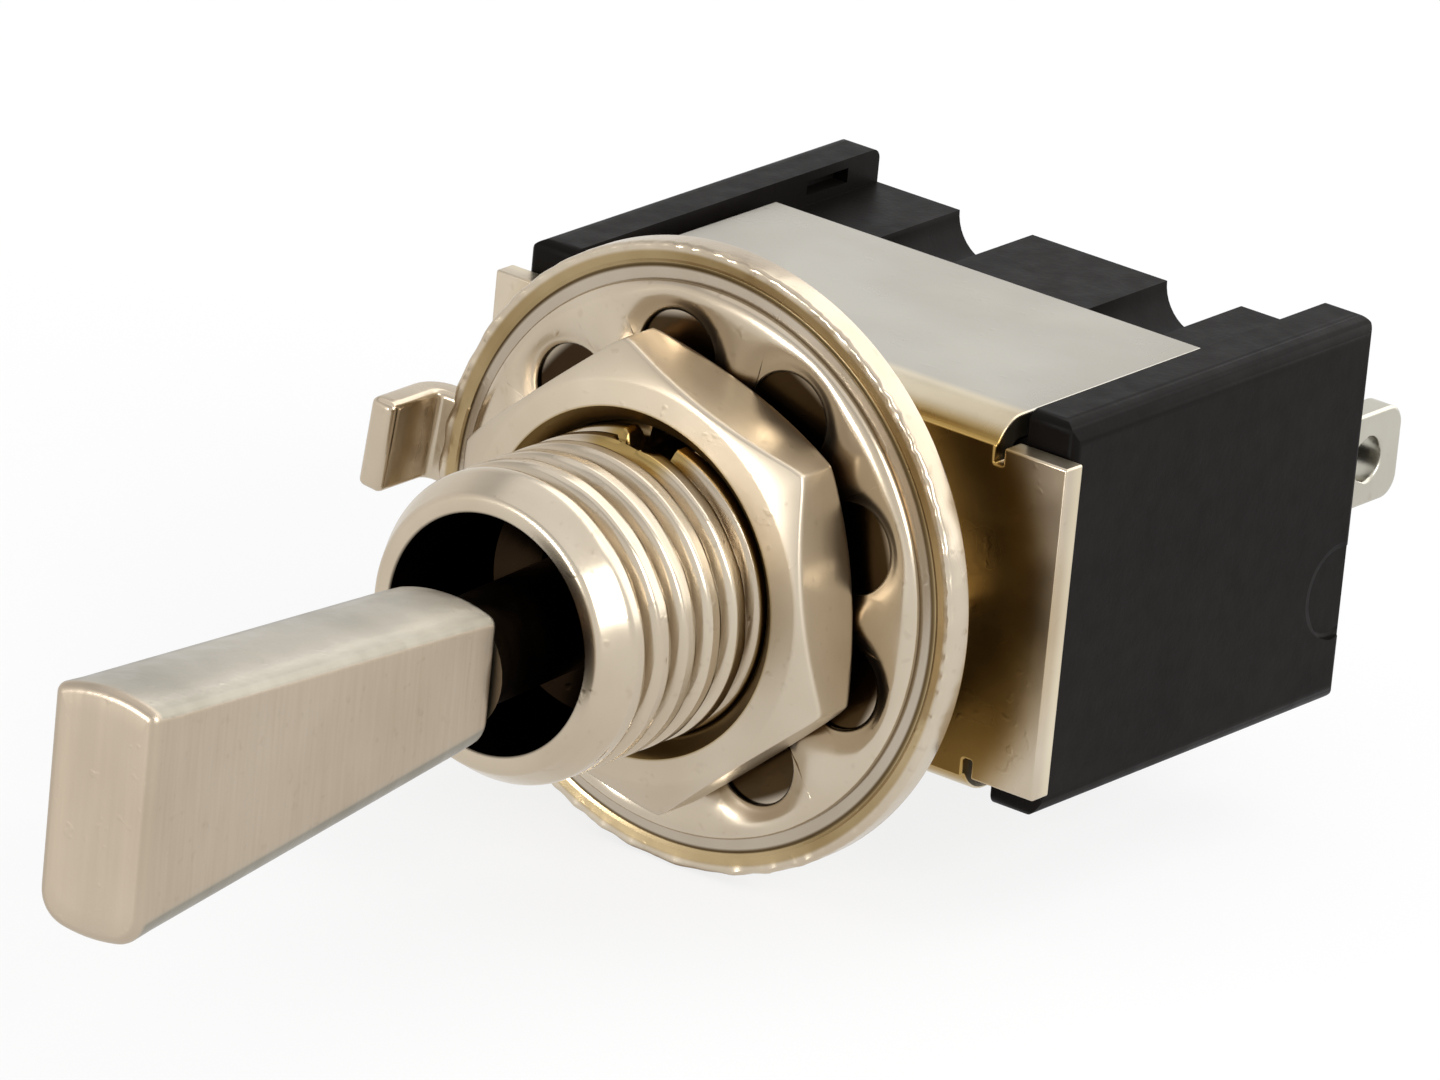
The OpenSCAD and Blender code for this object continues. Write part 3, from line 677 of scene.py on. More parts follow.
def paddle_rings(half_width):
    """Core points and normals all round the section, for each half width given."""
    upper = paddle_core(half_width, TOP_FILLET, 1)
    lower = paddle_core(half_width, LOW_FILLET, -1)
    core = np.concatenate([upper[0][:, :-1], lower[0][:, ::-1][:, :-1]], axis=1)
    normal = np.concatenate([upper[1][:-1], lower[1][::-1][:-1]])
    return core, normal


# %% Rows along the lever
def half_width_at(along):
    """Half width of the handle, a straight taper from the shoulder to the tip."""
    return ROOT_W + (TIP_W - ROOT_W) * (along - SHOULDER) / (TIP - SHOULDER)


def handle_rows():
    """Rings of the handle: its end face, the end's rounding, the body and the shoulder.

    A ring is core * fill + normal * EDGE * grow. Along a rounding grow is cos(swing), and the
    ring lies EDGE * (1 - sin(swing)) inside the end.
    """
    fill = np.array([0.0, 0.3, 0.6, 0.85, 1.0])
    swing = np.linspace(math.pi / 2, 0, 7)[1:]
    body = np.linspace(TIP - 0.7, SHOULDER + 0.7, 14)
    along = np.concatenate([np.full(len(fill) + len(swing), TIP), body, np.full(len(swing) + 1, SHOULDER)])
    core, normal = paddle_rings(half_width_at(along))
    grow = np.concatenate([np.zeros(len(fill)), np.cos(swing), np.ones(len(body)), np.cos(swing[::-1]), [0]])
    back = np.concatenate([np.zeros(len(fill)), -(1 - np.sin(swing)), np.zeros(len(body)),
                           1 - np.sin(swing[::-1]), [0]])
    scale = np.concatenate([fill, np.ones(len(along) - len(fill))])
    outline = core * scale[:, None, None] + normal[None] * (EDGE * grow)[:, None, None]
    place = np.repeat((along + back * EDGE)[:, None], len(normal), axis=1)
    return outline, place


def round_rows(bearing):
    """Rings of the turned end: shank, ball, tail and the bore in it, as (radius, along) pairs."""
    waist = math.asin(SHANK_R / BALL_R)
    tail = math.pi - math.asin(TAIL_R / BALL_R)
    ball = np.linspace(waist, tail, 24)
    neck_s = BALL_R * math.cos(waist)
    pairs = [(SHANK_R + 0.25, SHOULDER), (SHANK_R + 0.07, SHOULDER - 0.07), (SHANK_R, SHOULDER - 0.25)]
    pairs += [(SHANK_R, 5.0), (SHANK_R, 3.0), (SHANK_R, neck_s + 0.1)]
    pairs += [(BALL_R * math.sin(a), BALL_R * math.cos(a)) for a in ball]
    pairs += [(TAIL_R, -3.0), (TAIL_R, -TAIL_END + 0.15), (TAIL_R - 0.03, -TAIL_END + 0.05)]
    pairs += [(TAIL_R - 0.1, -TAIL_END), (BORE_R + 0.04, -TAIL_END), (BORE_R, -TAIL_END + 0.06)]
    pairs += [(BORE_R, -3.0), (BORE_R, -BORE_START - 0.02), (BORE_R - 0.05, -BORE_START), (0, -BORE_START)]
    radius, along = np.array(pairs).T
    outline = radius[:, None, None] * np.stack([np.cos(bearing), np.sin(bearing)], axis=-1)[None]
    return outline, np.repeat(along[:, None], len(bearing), axis=1)


# %% Lever
def make_lever():
    """The whole lever as one surface, leaned about its pivot. The cross pin runs through the ball."""
    outline, place = handle_rows()
    bearing = np.arctan2(outline[-1, :, 1], outline[-1, :, 0])
    turned_outline, turned_place = round_rows(bearing)
    section = np.concatenate([outline, turned_outline])
    along = np.concatenate([place, turned_place])
    points = np.stack([section[..., 0], -along, section[..., 1]], axis=-1)
    cos, sin = math.cos(LEAN), math.sin(LEAN)
    leaned = np.stack([points[..., 0] * cos - points[..., 1] * sin,
                       points[..., 0] * sin + points[..., 1] * cos, points[..., 2]], axis=-1)
    return skin("lever_ground", leaned + PIVOT_POINT, sharp_deg=50)


lever = make_lever()
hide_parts("lever")
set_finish(lever, "nickel_lever")
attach(lever, "lever")

# %% [markdown]
# ## Softened copies of the CAD pieces
# The case, the frame and the lugs already have their true shape in CAD, with perfectly sharp
# edges. A copy is merged, the flat regions of the case and frame are joined into single faces,
# and a narrow bevel rounds each edge. Its width is what a mould or a press would leave there.


# %% Softened copies
def merged_copy(node, name, flat_deg):
    """A CAD node's mesh, its loose triangles merged, and regions flat to flat_deg joined."""
    mesh = frame["nodes"][node].data.copy()
    mesh.name = name
    shape = bmesh.new()
    shape.from_mesh(mesh)
    bmesh.ops.remove_doubles(shape, verts=shape.verts, dist=1e-6)
    if flat_deg:
        bmesh.ops.dissolve_limit(shape, angle_limit=math.radians(flat_deg), verts=shape.verts,
                                 edges=shape.edges)
    shape.to_mesh(mesh)
    shape.free()
    return link_mesh(name, mesh)


def softened(node, width_mm, slot, flat_deg=0.5):
    """A copy of one of the body's CAD nodes with narrow rounded edges, which stands for the node."""
    made = merged_copy(node, node + "_softened", flat_deg)
    bevel = made.modifiers.new("edge", "BEVEL")
    bevel.width = width_mm * MM
    bevel.segments = 3
    bevel.limit_method = "ANGLE"
    bevel.angle_limit = math.radians(32)
    bevel.use_clamp_overlap = True
    bevel.miter_outer = "MITER_ARC"
    smooth(made, 40)
    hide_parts(node)
    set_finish(made, slot)
    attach(made, "switch_body")
    print(node, "softened by", width_mm, "mm, from", len(made.data.polygons), "faces")
    return made


case = softened("case", 0.15, "black_moulding")
sheet = softened("frame", 0.07, "nickel_sheet")
lugs = [softened("terminal_" + side, 0.06, "lug_silver", 0) for side in ("left", "centre", "right")]

# %% [markdown]
# ## Plunger spring
# The coil sits in the lever's hollow tail and pushes the plunger at the rocker. When the plunger slides in,
# the coil shortens by the same travel towards its fixed end, the bottom of the bore. Here a merged copy of it
# stands in its place and moves with the lever.

# %% Plunger spring
spring = merged_copy("plunger_spring", "plunger_spring_coiled", 0)
smooth(spring, 40)
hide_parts("plunger_spring")
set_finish(spring, "spring_wire")
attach(spring, "lever")
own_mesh(spring)

# %% [markdown]
# ## Finishes
# Nickel plate is never one colour: it has broad soft patches, fine specks and fine tool marks, and some
# places are toned apart, some with a tone of their own and some with painted shade, highlights and
# reflections. Three node groups make the masks for these: patches with specks, tool marks, and a round zone.
# A group puts out only masks and heights, so each metal can use it with its own sizes. All read Object
# coordinates, so a pattern stays on its piece.


# %% Node and group helpers
def add(tree, kind, place=(0, 0), **settings):
    """A node of that kind, with the given properties set."""
    made = tree.nodes.new(kind)
    made.location = place
    for key, value in settings.items():
        setattr(made, key, value)
    return made


def new_group(name, inputs, outputs):
    """An empty shader group with float inputs (name, default) and outputs (name, socket type)."""
    tree = bpy.data.node_groups.new(name, "ShaderNodeTree")
    tree.interface.new_socket("Vector", in_out="INPUT", socket_type="NodeSocketVector")
    for label, default in inputs:
        socket = tree.interface.new_socket(label, in_out="INPUT", socket_type="NodeSocketFloat")
        socket.default_value = default
    for label, kind in outputs:
        tree.interface.new_socket(label, in_out="OUTPUT", socket_type=kind)
    return tree, add(tree, "NodeGroupInput", (-900, 0)), add(tree, "NodeGroupOutput", (600, 0))


def noise_mask(tree, vector, scale, detail, low, high, place):
    """Noise stretched so that low becomes 0 and high becomes 1."""
    noise = add(tree, "ShaderNodeTexNoise", place)
    noise.inputs["Detail"].default_value = detail
    tree.links.new(vector, noise.inputs["Vector"])
    tree.links.new(scale, noise.inputs["Scale"])
    spread = add(tree, "ShaderNodeMapRange", (place[0] + 200, place[1]))
    spread.inputs["From Min"].default_value = low
    spread.inputs["From Max"].default_value = high
    tree.links.new(noise.outputs["Fac"], spread.inputs["Value"])
    return spread.outputs["Result"]


# %% Patches, tool marks and zone
def make_patches():
    """Plating patches: broad clouds in Patches, and small round flecks in Specks."""
    tree, enter, leave = new_group("plating_patches", [("Patch Scale", 300.0), ("Speck Scale", 2500.0)],
                                   [("Patches", "NodeSocketFloat"), ("Specks", "NodeSocketFloat")])
    vector = enter.outputs["Vector"]
    clouds = noise_mask(tree, vector, enter.outputs["Patch Scale"], 3.0, 0.35, 0.65, (-600, 150))
    specks = noise_mask(tree, vector, enter.outputs["Speck Scale"], 1.0, 0.66, 0.76, (-600, -150))
    tree.links.new(clouds, leave.inputs["Patches"])
    tree.links.new(specks, leave.inputs["Specks"])
    return tree


def make_marks():
    """Tool marks: noise drawn out along one axis, in Height and Mask."""
    tree, enter, leave = new_group("tool_marks", [("Scale", 6000.0)],
                                   [("Height", "NodeSocketFloat"), ("Mask", "NodeSocketFloat")])
    fine = noise_mask(tree, enter.outputs["Vector"], enter.outputs["Scale"], 4.0, 0.3, 0.7, (-600, 150))
    half = add(tree, "ShaderNodeMath", (-700, -200), operation="MULTIPLY")
    half.inputs[1].default_value = 0.22
    tree.links.new(enter.outputs["Scale"], half.inputs[0])
    broad = noise_mask(tree, enter.outputs["Vector"], half.outputs["Value"], 2.0, 0.3, 0.7, (-600, -150))
    tree.links.new(fine, leave.inputs["Height"])
    tree.links.new(broad, leave.inputs["Mask"])
    return tree


def make_zone():
    """A round zone: 1 where the vector is shorter than Inner, 0 past Outer, and soft between."""
    tree, enter, leave = new_group("round_zone", [("Inner", 0.001), ("Outer", 0.002)],
                                   [("Mask", "NodeSocketFloat")])
    length = add(tree, "ShaderNodeVectorMath", (-500, 0), operation="LENGTH")
    tree.links.new(enter.outputs["Vector"], length.inputs[0])
    fade = add(tree, "ShaderNodeMapRange", (-200, 0), interpolation_type="SMOOTHSTEP")
    fade.inputs["To Min"].default_value = 1.0
    fade.inputs["To Max"].default_value = 0.0
    tree.links.new(length.outputs["Value"], fade.inputs["Value"])
    tree.links.new(enter.outputs["Inner"], fade.inputs["From Min"])
    tree.links.new(enter.outputs["Outer"], fade.inputs["From Max"])
    tree.links.new(fade.outputs["Result"], leave.inputs["Mask"])
    return tree


PATCHES = make_patches()
MARKS = make_marks()
ZONE = make_zone()
print("groups:", PATCHES.name, MARKS.name, ZONE.name)

# %% [markdown]
# ## Building a material
# Each metal or plastic is the same few steps with other numbers: a tone between two colours, a
# roughness between two values, and a shallow relief. These helpers add one such step to a
# material's tree each, and give back the socket that the next step uses.


# %% Material helpers
def new_material(name, metallic, specular=0.5):
    """A material with its Principled shader, and the piece's Object coordinates."""
    material = bpy.data.materials.new(name)
    material.use_nodes = True
    tree = material.node_tree
    shader = tree.nodes["Principled BSDF"]
    shader.inputs["Metallic"].default_value = metallic
    shader.inputs["Specular IOR Level"].default_value = specular
    coords = add(tree, "ShaderNodeTexCoord", (-1200, 0))
    return material, tree, shader, coords.outputs["Object"]


def place_group(tree, group, vector, place, **values):
    """A group node with its Vector linked and its other inputs set (underscores for spaces)."""
    made = add(tree, "ShaderNodeGroup", place, node_tree=group)
    tree.links.new(vector, made.inputs["Vector"])
    for key, value in values.items():
        made.inputs[key.replace("_", " ")].default_value = value
    return made


def stretched(tree, vector, scale, place=(-1000, -300)):
    """The vector scaled along each axis, which draws a pattern out where the scale is small."""
    mapping = add(tree, "ShaderNodeMapping", place)
    mapping.inputs["Scale"].default_value = scale
    tree.links.new(vector, mapping.inputs["Vector"])
    return mapping.outputs["Vector"]


def zone_mask(tree, vector, centre_mm, along, inner_mm, outer_mm, place):
    """A round zone about a point, measured only along the axes where along is 1."""
    mapping = add(tree, "ShaderNodeMapping", place)
    mapping.inputs["Scale"].default_value = along
    mapping.inputs["Location"].default_value = [-c * a * MM for c, a in zip(centre_mm, along)]
    tree.links.new(vector, mapping.inputs["Vector"])
    zone = place_group(tree, ZONE, mapping.outputs["Vector"], (place[0] + 200, place[1]),
                       Inner=inner_mm * MM, Outer=outer_mm * MM)
    return zone.outputs["Mask"]


def mixed(tree, mask, low, high, place):
    """A colour between low and high by a mask."""
    mix = add(tree, "ShaderNodeMix", place, data_type="RGBA")
    tree.links.new(mask, mix.inputs["Factor"])
    for socket, value in ((mix.inputs["A"], low), (mix.inputs["B"], high)):
        if isinstance(value, bpy.types.NodeSocket):
            tree.links.new(value, socket)
        else:
            socket.default_value = (*value, 1.0)
    return mix.outputs["Result"]


def ranged(tree, mask, low, high, place):
    """A number between low and high by a mask."""
    spread = add(tree, "ShaderNodeMapRange", place)
    spread.inputs["To Min"].default_value = low
    spread.inputs["To Max"].default_value = high
    tree.links.new(mask, spread.inputs["Value"])
    return spread.outputs["Result"]


def bumped(tree, height, distance, strength, place, normal=None):
    """A Bump node of that height in metres."""
    bump = add(tree, "ShaderNodeBump", place)
    bump.inputs["Distance"].default_value = distance
    bump.inputs["Strength"].default_value = strength
    tree.links.new(height, bump.inputs["Height"])
    if normal is not None:
        tree.links.new(normal, bump.inputs["Normal"])
    return bump.outputs["Normal"]


# %% Rays that mirrors send on
def light_path(tree, place, mirrored_place):
    """The Light Path node, and a value that is 1 for rays that metal or glass sends on."""
    path = add(tree, "ShaderNodeLightPath", place)
    mirrored = add(tree, "ShaderNodeMath", mirrored_place, operation="MAXIMUM")
    tree.links.new(path.outputs["Is Glossy Ray"], mirrored.inputs[0])
    tree.links.new(path.outputs["Is Transmission Ray"], mirrored.inputs[1])
    return path, mirrored.outputs["Value"]


print("helpers ready:", len(bpy.data.node_groups), "node groups to place")

# %% [markdown]
# ## Nickel and the other metals
# Nickel over brass looks warm where the plate is thin. A base of two close tones is darkened towards brown by
# how hidden a spot is, which paints shade into grooves, corners and undersides. A few round zones tone their
# places: some with tones of their own, others with painted shade, painted highlights and painted reflections,
# such as the painted shade inside the bushing's bore. The lever is ground, not turned, on its handle, and its
# crowned top is greyer: partly its own finish, partly a painted reflection of the grey sky.


# %% Tones
# The first tone is one colour, for flecks, tool marks and the painted shade in recesses. Every other tone is
# a pale colour and a deep one, blended by the patches.
TARNISH_AND_SHADE = (0.17, 0.105, 0.042)
WARM = (0.62, 0.54, 0.425), (0.52, 0.435, 0.325)
# Painted shade in the nut's countersink.
SINK_SHADE = (0.42, 0.31, 0.15), (0.27, 0.19, 0.08)
NOTCH = (0.60, 0.43, 0.18), (0.32, 0.21, 0.07)
# Painted shade: near black inside the bushing's bore and on the lever's shank, ball and tail.
DEEP_SHADE = (0.030, 0.018, 0.009), (0.012, 0.007, 0.004)
SHADE = (0.07, 0.043, 0.018), (0.03, 0.017, 0.008)
# Partly worn plating at the ring's burr, partly a painted reflection.
GOLD_WEAR_AND_REFLECTION = (0.50, 0.385, 0.22), (0.28, 0.195, 0.09)
# Painted shade: a dark line in the gap at the washer's edge.
GAP_SHADE_LINE = (0.12, 0.08, 0.035), (0.08, 0.05, 0.02)
BAND = (0.50, 0.435, 0.35), (0.40, 0.335, 0.255)
# Painted reflection and shade: brown on the frame's plate round the ring.
RING_REFLECTION_BROWN = (0.50, 0.335, 0.12), (0.36, 0.23, 0.07)
# Painted reflection: the frame's legs greyer, as they mirror the grey sky.
LEG_SKY_REFLECTION = (0.52, 0.495, 0.435), (0.45, 0.42, 0.36)
# Painted highlight along the frame's bend.
BEND_HIGHLIGHT = (0.74, 0.66, 0.50), (0.60, 0.51, 0.36)
SATIN = (0.495, 0.415, 0.32), (0.45, 0.37, 0.28)
# Painted shade on the lever's ridge, where its highlight would be.
RIDGE_SHADE = (0.30, 0.275, 0.225), (0.24, 0.22, 0.175)
# Partly the crown's own finish, partly a painted reflection of the grey sky.
CROWN_TONE_AND_REFLECTION = (0.46, 0.42, 0.35), (0.32, 0.295, 0.24)
SILVER = (0.55, 0.53, 0.46), (0.48, 0.455, 0.38)
STEEL = (0.52, 0.51, 0.49), (0.46, 0.45, 0.43)
BRASS = (0.72, 0.56, 0.30), (0.66, 0.50, 0.26)
CONTACT = (0.84, 0.83, 0.80), (0.78, 0.77, 0.73)

print("lightest nickel:", BEND_HIGHLIGHT[0], "darkest:", DEEP_SHADE[1])


# %% Recesses, zones and axes
AROUND_Y = (1, 0, 1)
ALONG_X = (1, 0, 0)
ALONG_Y = (0, 1, 0)
ALL_ROUND = (1, 1, 1)


def recess_shade_mask(tree, reach_mm, place):
    """Painted shade: 1 deep in a groove or corner, 0 in the open, by how much sky within reach is hidden."""
    open_sky = add(tree, "ShaderNodeAmbientOcclusion", place, samples=8)
    open_sky.inputs["Distance"].default_value = reach_mm * MM
    spread = add(tree, "ShaderNodeMapRange", (place[0] + 200, place[1]), interpolation_type="SMOOTHSTEP")
    spread.inputs["From Min"].default_value = 0.15
    spread.inputs["From Max"].default_value = 0.75
    spread.inputs["To Min"].default_value = 1.0
    spread.inputs["To Max"].default_value = 0.0
    tree.links.new(open_sky.outputs["AO"], spread.inputs["Value"])
    return spread.outputs["Result"]


def zone(inner, outer, tone, measured=AROUND_Y, centre=(0, 0, 0)):
    """A toned zone: full within inner and gone past outer, in millimetres from centre.

    The distance counts only the axes where measured is 1. The axes start at the lever's pivot.
    """
    return inner, outer, tone, measured, centre


def pivot_coords(tree, coords, turned_by):
    """Object coordinates moved to the lever's pivot and turned back about it by turned_by."""
    own = add(tree, "ShaderNodeMapping", (-1100, 0))
    own.inputs["Rotation"].default_value = (0, 0, -turned_by)
    pivot = Matrix.Rotation(-turned_by, 3, "Z") @ Vector(PIVOT_POINT)
    own.inputs["Location"].default_value = [-v * MM for v in pivot]
    tree.links.new(coords, own.inputs["Vector"])
    return own.outputs["Vector"]


# %% Nickel
def nickel(name, tone, roughs, marks, zones=(), turned_by=0.0, reach_mm=0.45, streaks=0.05):
    """Plated metal: two tones by patches, painted shade in recesses, toned zones, tool marks and flecks.

    roughs are the lowest and highest roughness. marks are the tool marks' stretch along each
    axis, their scale and their depth in metres. A later zone lies over an earlier one.
    """
    stretch, marks_scale, mark_depth = marks
    material, tree, shader, coords = new_material(name, 1.0)
    coords = pivot_coords(tree, coords, turned_by)
    clouds = place_group(tree, PATCHES, coords, (-800, 200), Patch_Scale=260.0, Speck_Scale=4200.0)
    lines = place_group(tree, MARKS, stretched(tree, coords, stretch), (-800, -200), Scale=marks_scale)
    patches, specks = clouds.outputs["Patches"], clouds.outputs["Specks"]
    base = mixed(tree, patches, tone[1], tone[0], (-500, 300))
    flecks = ranged(tree, specks, 0.0, 0.10, (-500, 500))
    base = mixed(tree, flecks, base, TARNISH_AND_SHADE, (-300, 300))
    drawn = ranged(tree, lines.outputs["Height"], streaks, 0.0, (-300, 500))
    base = mixed(tree, drawn, base, TARNISH_AND_SHADE, (-200, 300))
    # Painted shade: grooves, corners and undersides darken by how much sky is hidden within reach.
    base = mixed(tree, recess_shade_mask(tree, reach_mm, (-500, 700)), base, TARNISH_AND_SHADE, (-100, 300))
    for step, (inner, outer, zone_tone, measured, centre) in enumerate(zones):
        height = 900 + 300 * step
        mask = zone_mask(tree, coords, centre, measured, inner, outer, (-500, height))
        colour = mixed(tree, patches, zone_tone[1], zone_tone[0], (-100, height))
        base = mixed(tree, mask, base, colour, (100, 300 + 100 * step))
    tree.links.new(base, shader.inputs["Base Color"])
    rough = ranged(tree, lines.outputs["Mask"], *roughs, (-500, 0))
    tree.links.new(rough, shader.inputs["Roughness"])
    lined = bumped(tree, lines.outputs["Height"], mark_depth, 1.0, (-500, -200))
    flecked = bumped(tree, specks, 4e-6, 0.5, (-250, -200), lined)
    tree.links.new(flecked, shader.inputs["Normal"])
    return material


# %% Metal finishes
KEY_MIDDLE_R = 2.8
turned_marks = (1, 6, 1), 500.0, 1.5e-6
key_spot = (KEY_MIDDLE_R * math.cos(KEY_TURN), KEY_END + 0.45 - PIVOT, KEY_MIDDLE_R * math.sin(KEY_TURN))
turned_nickel = nickel("turned_nickel", WARM, (0.18, 0.28), turned_marks)
# The nut's countersink gets painted shade.
nut_nickel = nickel("nut_nickel", WARM, (0.28, 0.36), turned_marks, [zone(3.36, 3.42, SINK_SHADE)])
# In the bushing, the bore's near black is painted shade.
bushing_nickel = nickel("bushing_nickel", WARM, (0.16, 0.27), turned_marks, [
    zone(0.75, 1.25, NOTCH, ALL_ROUND, key_spot),
    zone(2.28, 2.36, DEEP_SHADE),
])
# The ring's zones: a gold band, partly worn plating at the burr and partly a painted reflection; a painted
# dark line of shade in the gap at the washer's edge; a band of its own tone; and painted shade under the
# washer.
ring_nickel = nickel("ring_nickel", WARM, (0.18, 0.30), turned_marks, [
    zone(5.87, 5.95, GOLD_WEAR_AND_REFLECTION),
    zone(5.63, 5.69, GAP_SHADE_LINE),
    zone(5.56, 5.62, BAND),
    zone(4.6, 4.82, SHADE),
])
# The frame's zones: a painted brown reflection and shade round the ring, legs painted greyer as a reflection
# of the grey sky, and a painted highlight along the bend.
sheet_nickel = nickel("sheet_nickel", WARM, (0.26, 0.38), ((1, 1, 1), 2500.0, 1.2e-6), [
    zone(6.0, 7.2, RING_REFLECTION_BROWN),
    zone(5.6, 6.15, LEG_SKY_REFLECTION, ALONG_Y, (0, 9.3, 0)),
    zone(0.18, 0.50, BEND_HIGHLIGHT, ALONG_Y, (0, 3.6, 0)),
], reach_mm=1.6)
# The lever's zones: painted shade on the ridge where its highlight would be, a greyer crown that is partly
# its own finish and partly a painted reflection of the grey sky, the tip in its plain satin tone, and painted
# shade on the shank, ball and tail near the pivot.
lever_nickel = nickel("lever_nickel", SATIN, (0.30, 0.42), ((1, 1, 0.06), 9000.0, 1.6e-6), [
    zone(1.100, 1.122, RIDGE_SHADE, ALONG_X),
    zone(0.72, 1.03, CROWN_TONE_AND_REFLECTION, ALONG_X),
    zone(0.12, 0.26, SATIN, ALONG_Y, (0, -TIP, 0)),
    zone(6.9, 7.5, DEEP_SHADE, ALL_ROUND),
], turned_by=LEAN, streaks=0.10)
lug_silver = nickel("lug_silver", SILVER, (0.24, 0.36), ((1, 1, 0.1), 4000.0, 1.5e-6))
steel = nickel("ground_steel", STEEL, (0.2, 0.3), ((1, 1, 1), 3000.0, 1e-6))
brass = nickel("contact_brass", BRASS, (0.25, 0.35), ((1, 0.1, 1), 4000.0, 1e-6))
silver = nickel("contact_silver", CONTACT, (0.2, 0.3), ((1, 1, 1), 3000.0, 1e-6))
print("finishes of metal:", ", ".join(m.name for m in (
    turned_nickel, nut_nickel, bushing_nickel, ring_nickel, sheet_nickel, lever_nickel, lug_silver,
    steel, brass, silver)))

# %% [markdown]
# ## Mouldings
# The case is a filled black plastic, which shows a fine mould grain and little gloss. An ejector
# pin left a shallow round mark on each end. The plunger is an unfilled white plastic, and a dark
# resin closes the case round the lugs. A plain shader with a faint grain is enough for all three.


# %% Mouldings
EJECTOR_MARK = (0, 9.77, -1.54), 0.86, 0.97
AROUND_X = (0, 1, 1)


def moulding(name, tone, roughs, grain, depth, specular, mark=None):
    """Moulded plastic: a faint two-tone, an eroded mould's fine grain, and soft gloss.

    mark is (centre, inner, outer) in millimetres: the sunk round mark that an ejector pin leaves.
    """
    material, tree, shader, coords = new_material(name, 0.0, specular)
    patches = place_group(tree, PATCHES, coords, (-800, 200), Patch_Scale=400.0, Speck_Scale=grain)
    texture = place_group(tree, MARKS, coords, (-800, -200), Scale=grain)
    colour = mixed(tree, patches.outputs["Patches"], tone[1], tone[0], (-500, 300))
    tree.links.new(colour, shader.inputs["Base Color"])
    rough = ranged(tree, texture.outputs["Mask"], *roughs, (-500, 0))
    tree.links.new(rough, shader.inputs["Roughness"])
    normal = bumped(tree, texture.outputs["Height"], depth, 1.0, (-500, -200))
    if mark:
        centre, inner, outer = mark
        sunk = zone_mask(tree, coords, centre, AROUND_X, inner, outer, (-900, -500))
        normal = bumped(tree, sunk, -5e-5, 1.0, (-250, -200), normal)
    tree.links.new(normal, shader.inputs["Normal"])
    return material


BLACK = (0.0065, 0.005, 0.0043), (0.0045, 0.0035, 0.003)
WHITE = (0.80, 0.77, 0.68), (0.74, 0.71, 0.62)
RESIN = (0.03, 0.03, 0.03), (0.02, 0.02, 0.02)
black = moulding("black_moulding", BLACK, (0.40, 0.50), 9000.0, 1.4e-6, 0.06, EJECTOR_MARK)
white = moulding("white_moulding", WHITE, (0.4, 0.55), 5000.0, 2e-6, 0.5)
resin = moulding("resin", RESIN, (0.15, 0.3), 900.0, 1e-5, 0.5)
print("finishes of plastic:", black.name, white.name, resin.name)

# %% [markdown]
# ## Which piece gets which finish
# A piece made here takes the finish of its slot, or a finish of its own where it is toned in
# places that only it has. The parts inside the case stay as CAD meshes, and only their slots are
# filled.

# %% Give each piece its finish
# Each slot's finish.
finish = {
    "nickel_turned": turned_nickel,
    "nickel_sheet": sheet_nickel,
    "nickel_lever": lever_nickel,
    "lug_silver": lug_silver,
    "steel_pin": steel,
    "spring_wire": steel,
    "contact_brass": brass,
    "contact_silver": silver,
    "black_moulding": black,
    "white_moulding": white,
    "resin": resin,
}
inner_slots = {
    "pivot_pin": "steel_pin",
    "plunger": "white_moulding",
    "rocker": "contact_brass",
    "rocker_contact_left": "contact_silver",
    "rocker_contact_right": "contact_silver",
    "fixed_contact_left": "contact_silver",
    "fixed_contact_right": "contact_silver",
    "seal_left": "resin",
    "seal_centre": "resin",
    "seal_right": "resin",
}


def dress(piece, material):
    """Puts one material on a piece, in place of any it has."""
    piece.data.materials.clear()
    piece.data.materials.append(material)


slot_finish = (washer, lever, case, sheet, spring, *lugs)
for piece in slot_finish:
    dress(piece, finish[piece["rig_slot"]])
own_finish = ((bushing, bushing_nickel), (ring, ring_nickel), (front_nut, nut_nickel), (rear_nut, nut_nickel))
for piece, material in own_finish:
    dress(piece, material)
for node, slot_name in inner_slots.items():
    for place in frame["nodes"][node].material_slots:
        place.material = finish[slot_name]
print("dressed:", len(slot_finish) + len(own_finish), "pieces and", len(inner_slots), "CAD nodes")

# %% [markdown]
# ## Floor and light
# A pale floor lies just under the lowest edge. It shows nearly white to the camera and in
# reflections, and still keeps a soft shadow. Metal has little colour of its own, so what it
# mirrors is part of its look.

# %% Floor
FLOOR_GAP = 0.02
FLOOR_R = 900.0
PAPER = 0.86
GLOW_SHARE = 0.8
lowest = min(box_mm(node)[0][2] for node in frame["nodes"])
edge = np.array([[-1, -1, 0], [1, -1, 0], [1, 1, 0], [-1, 1, 0]], float) * FLOOR_R
edge[:, 2] = lowest - FLOOR_GAP
floor = link_mesh("floor", mesh_from("floor", edge, np.array([[0, 1, 2, 3]])))

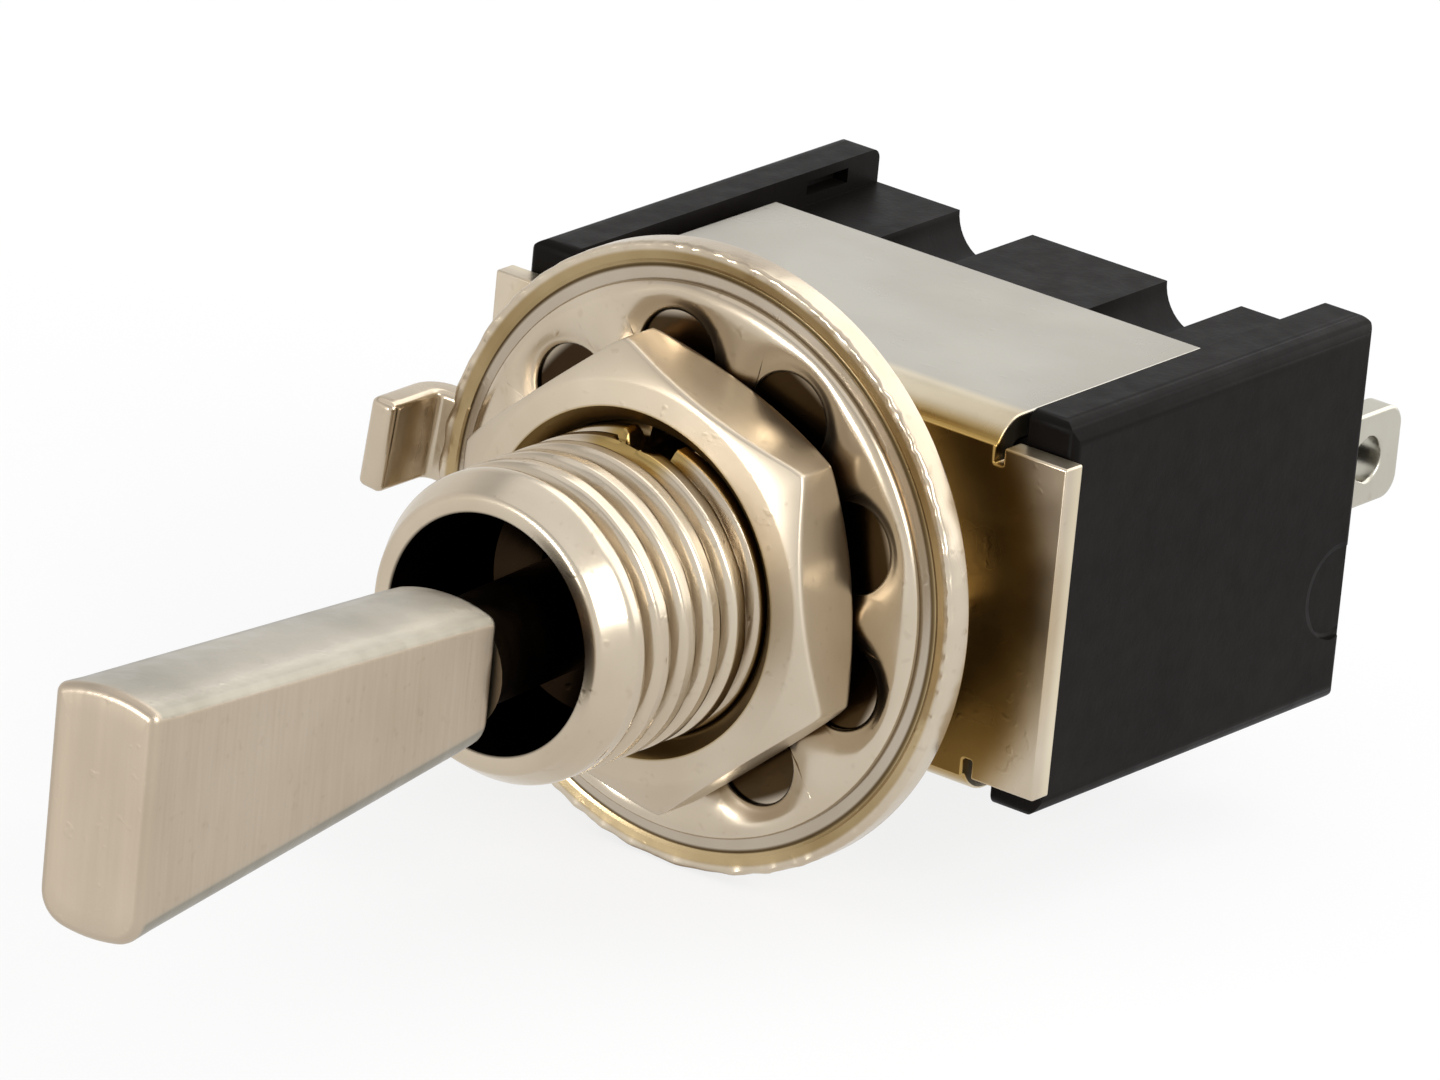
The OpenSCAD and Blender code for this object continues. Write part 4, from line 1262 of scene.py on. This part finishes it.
floor_look = bpy.data.materials.new("floor")
floor_look.use_nodes = True
tree = floor_look.node_tree
tree.nodes.clear()
surface_out = add(tree, "ShaderNodeOutputMaterial", (600, 0))
paper = add(tree, "ShaderNodeBsdfDiffuse", (0, 100))
paper.inputs["Color"].default_value = (PAPER, PAPER, PAPER, 1)
glow = add(tree, "ShaderNodeEmission", (0, -100))
glow.inputs["Color"].default_value = (1, 1, 1, 1)
path, mirrored = light_path(tree, (-400, 300), (-200, 450))
seen = add(tree, "ShaderNodeMath", (-200, 300), operation="MAXIMUM")
tree.links.new(path.outputs["Is Camera Ray"], seen.inputs[0])
tree.links.new(mirrored, seen.inputs[1])
share = add(tree, "ShaderNodeMath", (0, 300), operation="MULTIPLY")
share.inputs[1].default_value = GLOW_SHARE
tree.links.new(seen.outputs["Value"], share.inputs[0])
blend = add(tree, "ShaderNodeMixShader", (300, 0))
tree.links.new(share.outputs["Value"], blend.inputs["Fac"])
tree.links.new(paper.outputs["BSDF"], blend.inputs[1])
tree.links.new(glow.outputs["Emission"], blend.inputs[2])
tree.links.new(blend.outputs["Shader"], surface_out.inputs["Surface"])
dress(floor, floor_look)
print("floor at", round(lowest - FLOOR_GAP, 3), "mm")

# %% [markdown]
# ## The room
# The world stands for a plain studio. The camera sees it white, the metal mirrors it pale at the
# horizon and greyer above, and as a light it is dimmer, so that the lamps give the form.

# %% World
HORIZON = (1.0, 1.0, 1.0, 1)
ZENITH = (0.45, 0.455, 0.47, 1)
ROOM_AS_LIGHT = 0.55
ROOM_MIRRORED = 1.0
world = bpy.data.worlds.new("studio")
bpy.context.scene.world = world
world.use_nodes = True
tree = world.node_tree
tree.nodes.clear()
world_out = add(tree, "ShaderNodeOutputWorld", (900, 0))
room = add(tree, "ShaderNodeBackground", (300, 0))
backdrop = add(tree, "ShaderNodeBackground", (300, -200))
sky_coords = add(tree, "ShaderNodeTexCoord", (-600, 0))
split = add(tree, "ShaderNodeSeparateXYZ", (-400, 0))
ramp = add(tree, "ShaderNodeValToRGB", (-100, 0))
ramp.color_ramp.elements[0].position = 0.42
ramp.color_ramp.elements[0].color = HORIZON
ramp.color_ramp.elements[1].position = 0.85
ramp.color_ramp.elements[1].color = ZENITH
tree.links.new(sky_coords.outputs["Generated"], split.inputs["Vector"])
tree.links.new(split.outputs["Z"], ramp.inputs["Fac"])
tree.links.new(ramp.outputs["Color"], room.inputs["Color"])
backdrop.inputs["Color"].default_value = (1, 1, 1, 1)
backdrop.inputs["Strength"].default_value = 1.0
path, mirrored = light_path(tree, (-600, 400), (-300, 400))
strength = ranged(tree, mirrored, ROOM_AS_LIGHT, ROOM_MIRRORED, (0, 400))
tree.links.new(strength, room.inputs["Strength"])
choose = add(tree, "ShaderNodeMixShader", (600, 0))
tree.links.new(path.outputs["Is Camera Ray"], choose.inputs["Fac"])
tree.links.new(room.outputs["Background"], choose.inputs[1])
tree.links.new(backdrop.outputs["Background"], choose.inputs[2])
tree.links.new(choose.outputs["Shader"], world_out.inputs["Surface"])
print("world:", world.name)

# %% [markdown]
# ## Lamps
# A very broad lamp overhead and one behind fill the upper sides, a smaller one at the right puts
# the highlights on the thread and the nuts, and a low one in front lights the ground lever.


# %% Lamps
def soft_lamp(name, place, size, watts):
    """A square lamp, size metres across, that faces the switch. place is in metres."""
    data = bpy.data.lights.new(name, "AREA")
    data.shape = "SQUARE"
    data.size = size
    data.energy = watts
    made = bpy.data.objects.new(name, data)
    bpy.context.scene.collection.objects.link(made)
    made.location = place
    made.rotation_euler = (-Vector(place)).to_track_quat("-Z", "Y").to_euler()
    return made


soft_lamp("overhead", (0.0, 0.0, 0.60), 0.90, 1.6)
soft_lamp("behind", (0.15, 0.50, 0.38), 0.85, 3.4)
soft_lamp("right", (0.55, -0.12, 0.30), 0.34, 2.3)
soft_lamp("front", (-0.16, -0.62, 0.075), 0.16, 1.5)
bpy.context.scene.view_settings.view_transform = "Standard"
print("lamps:", len(bpy.data.lights))
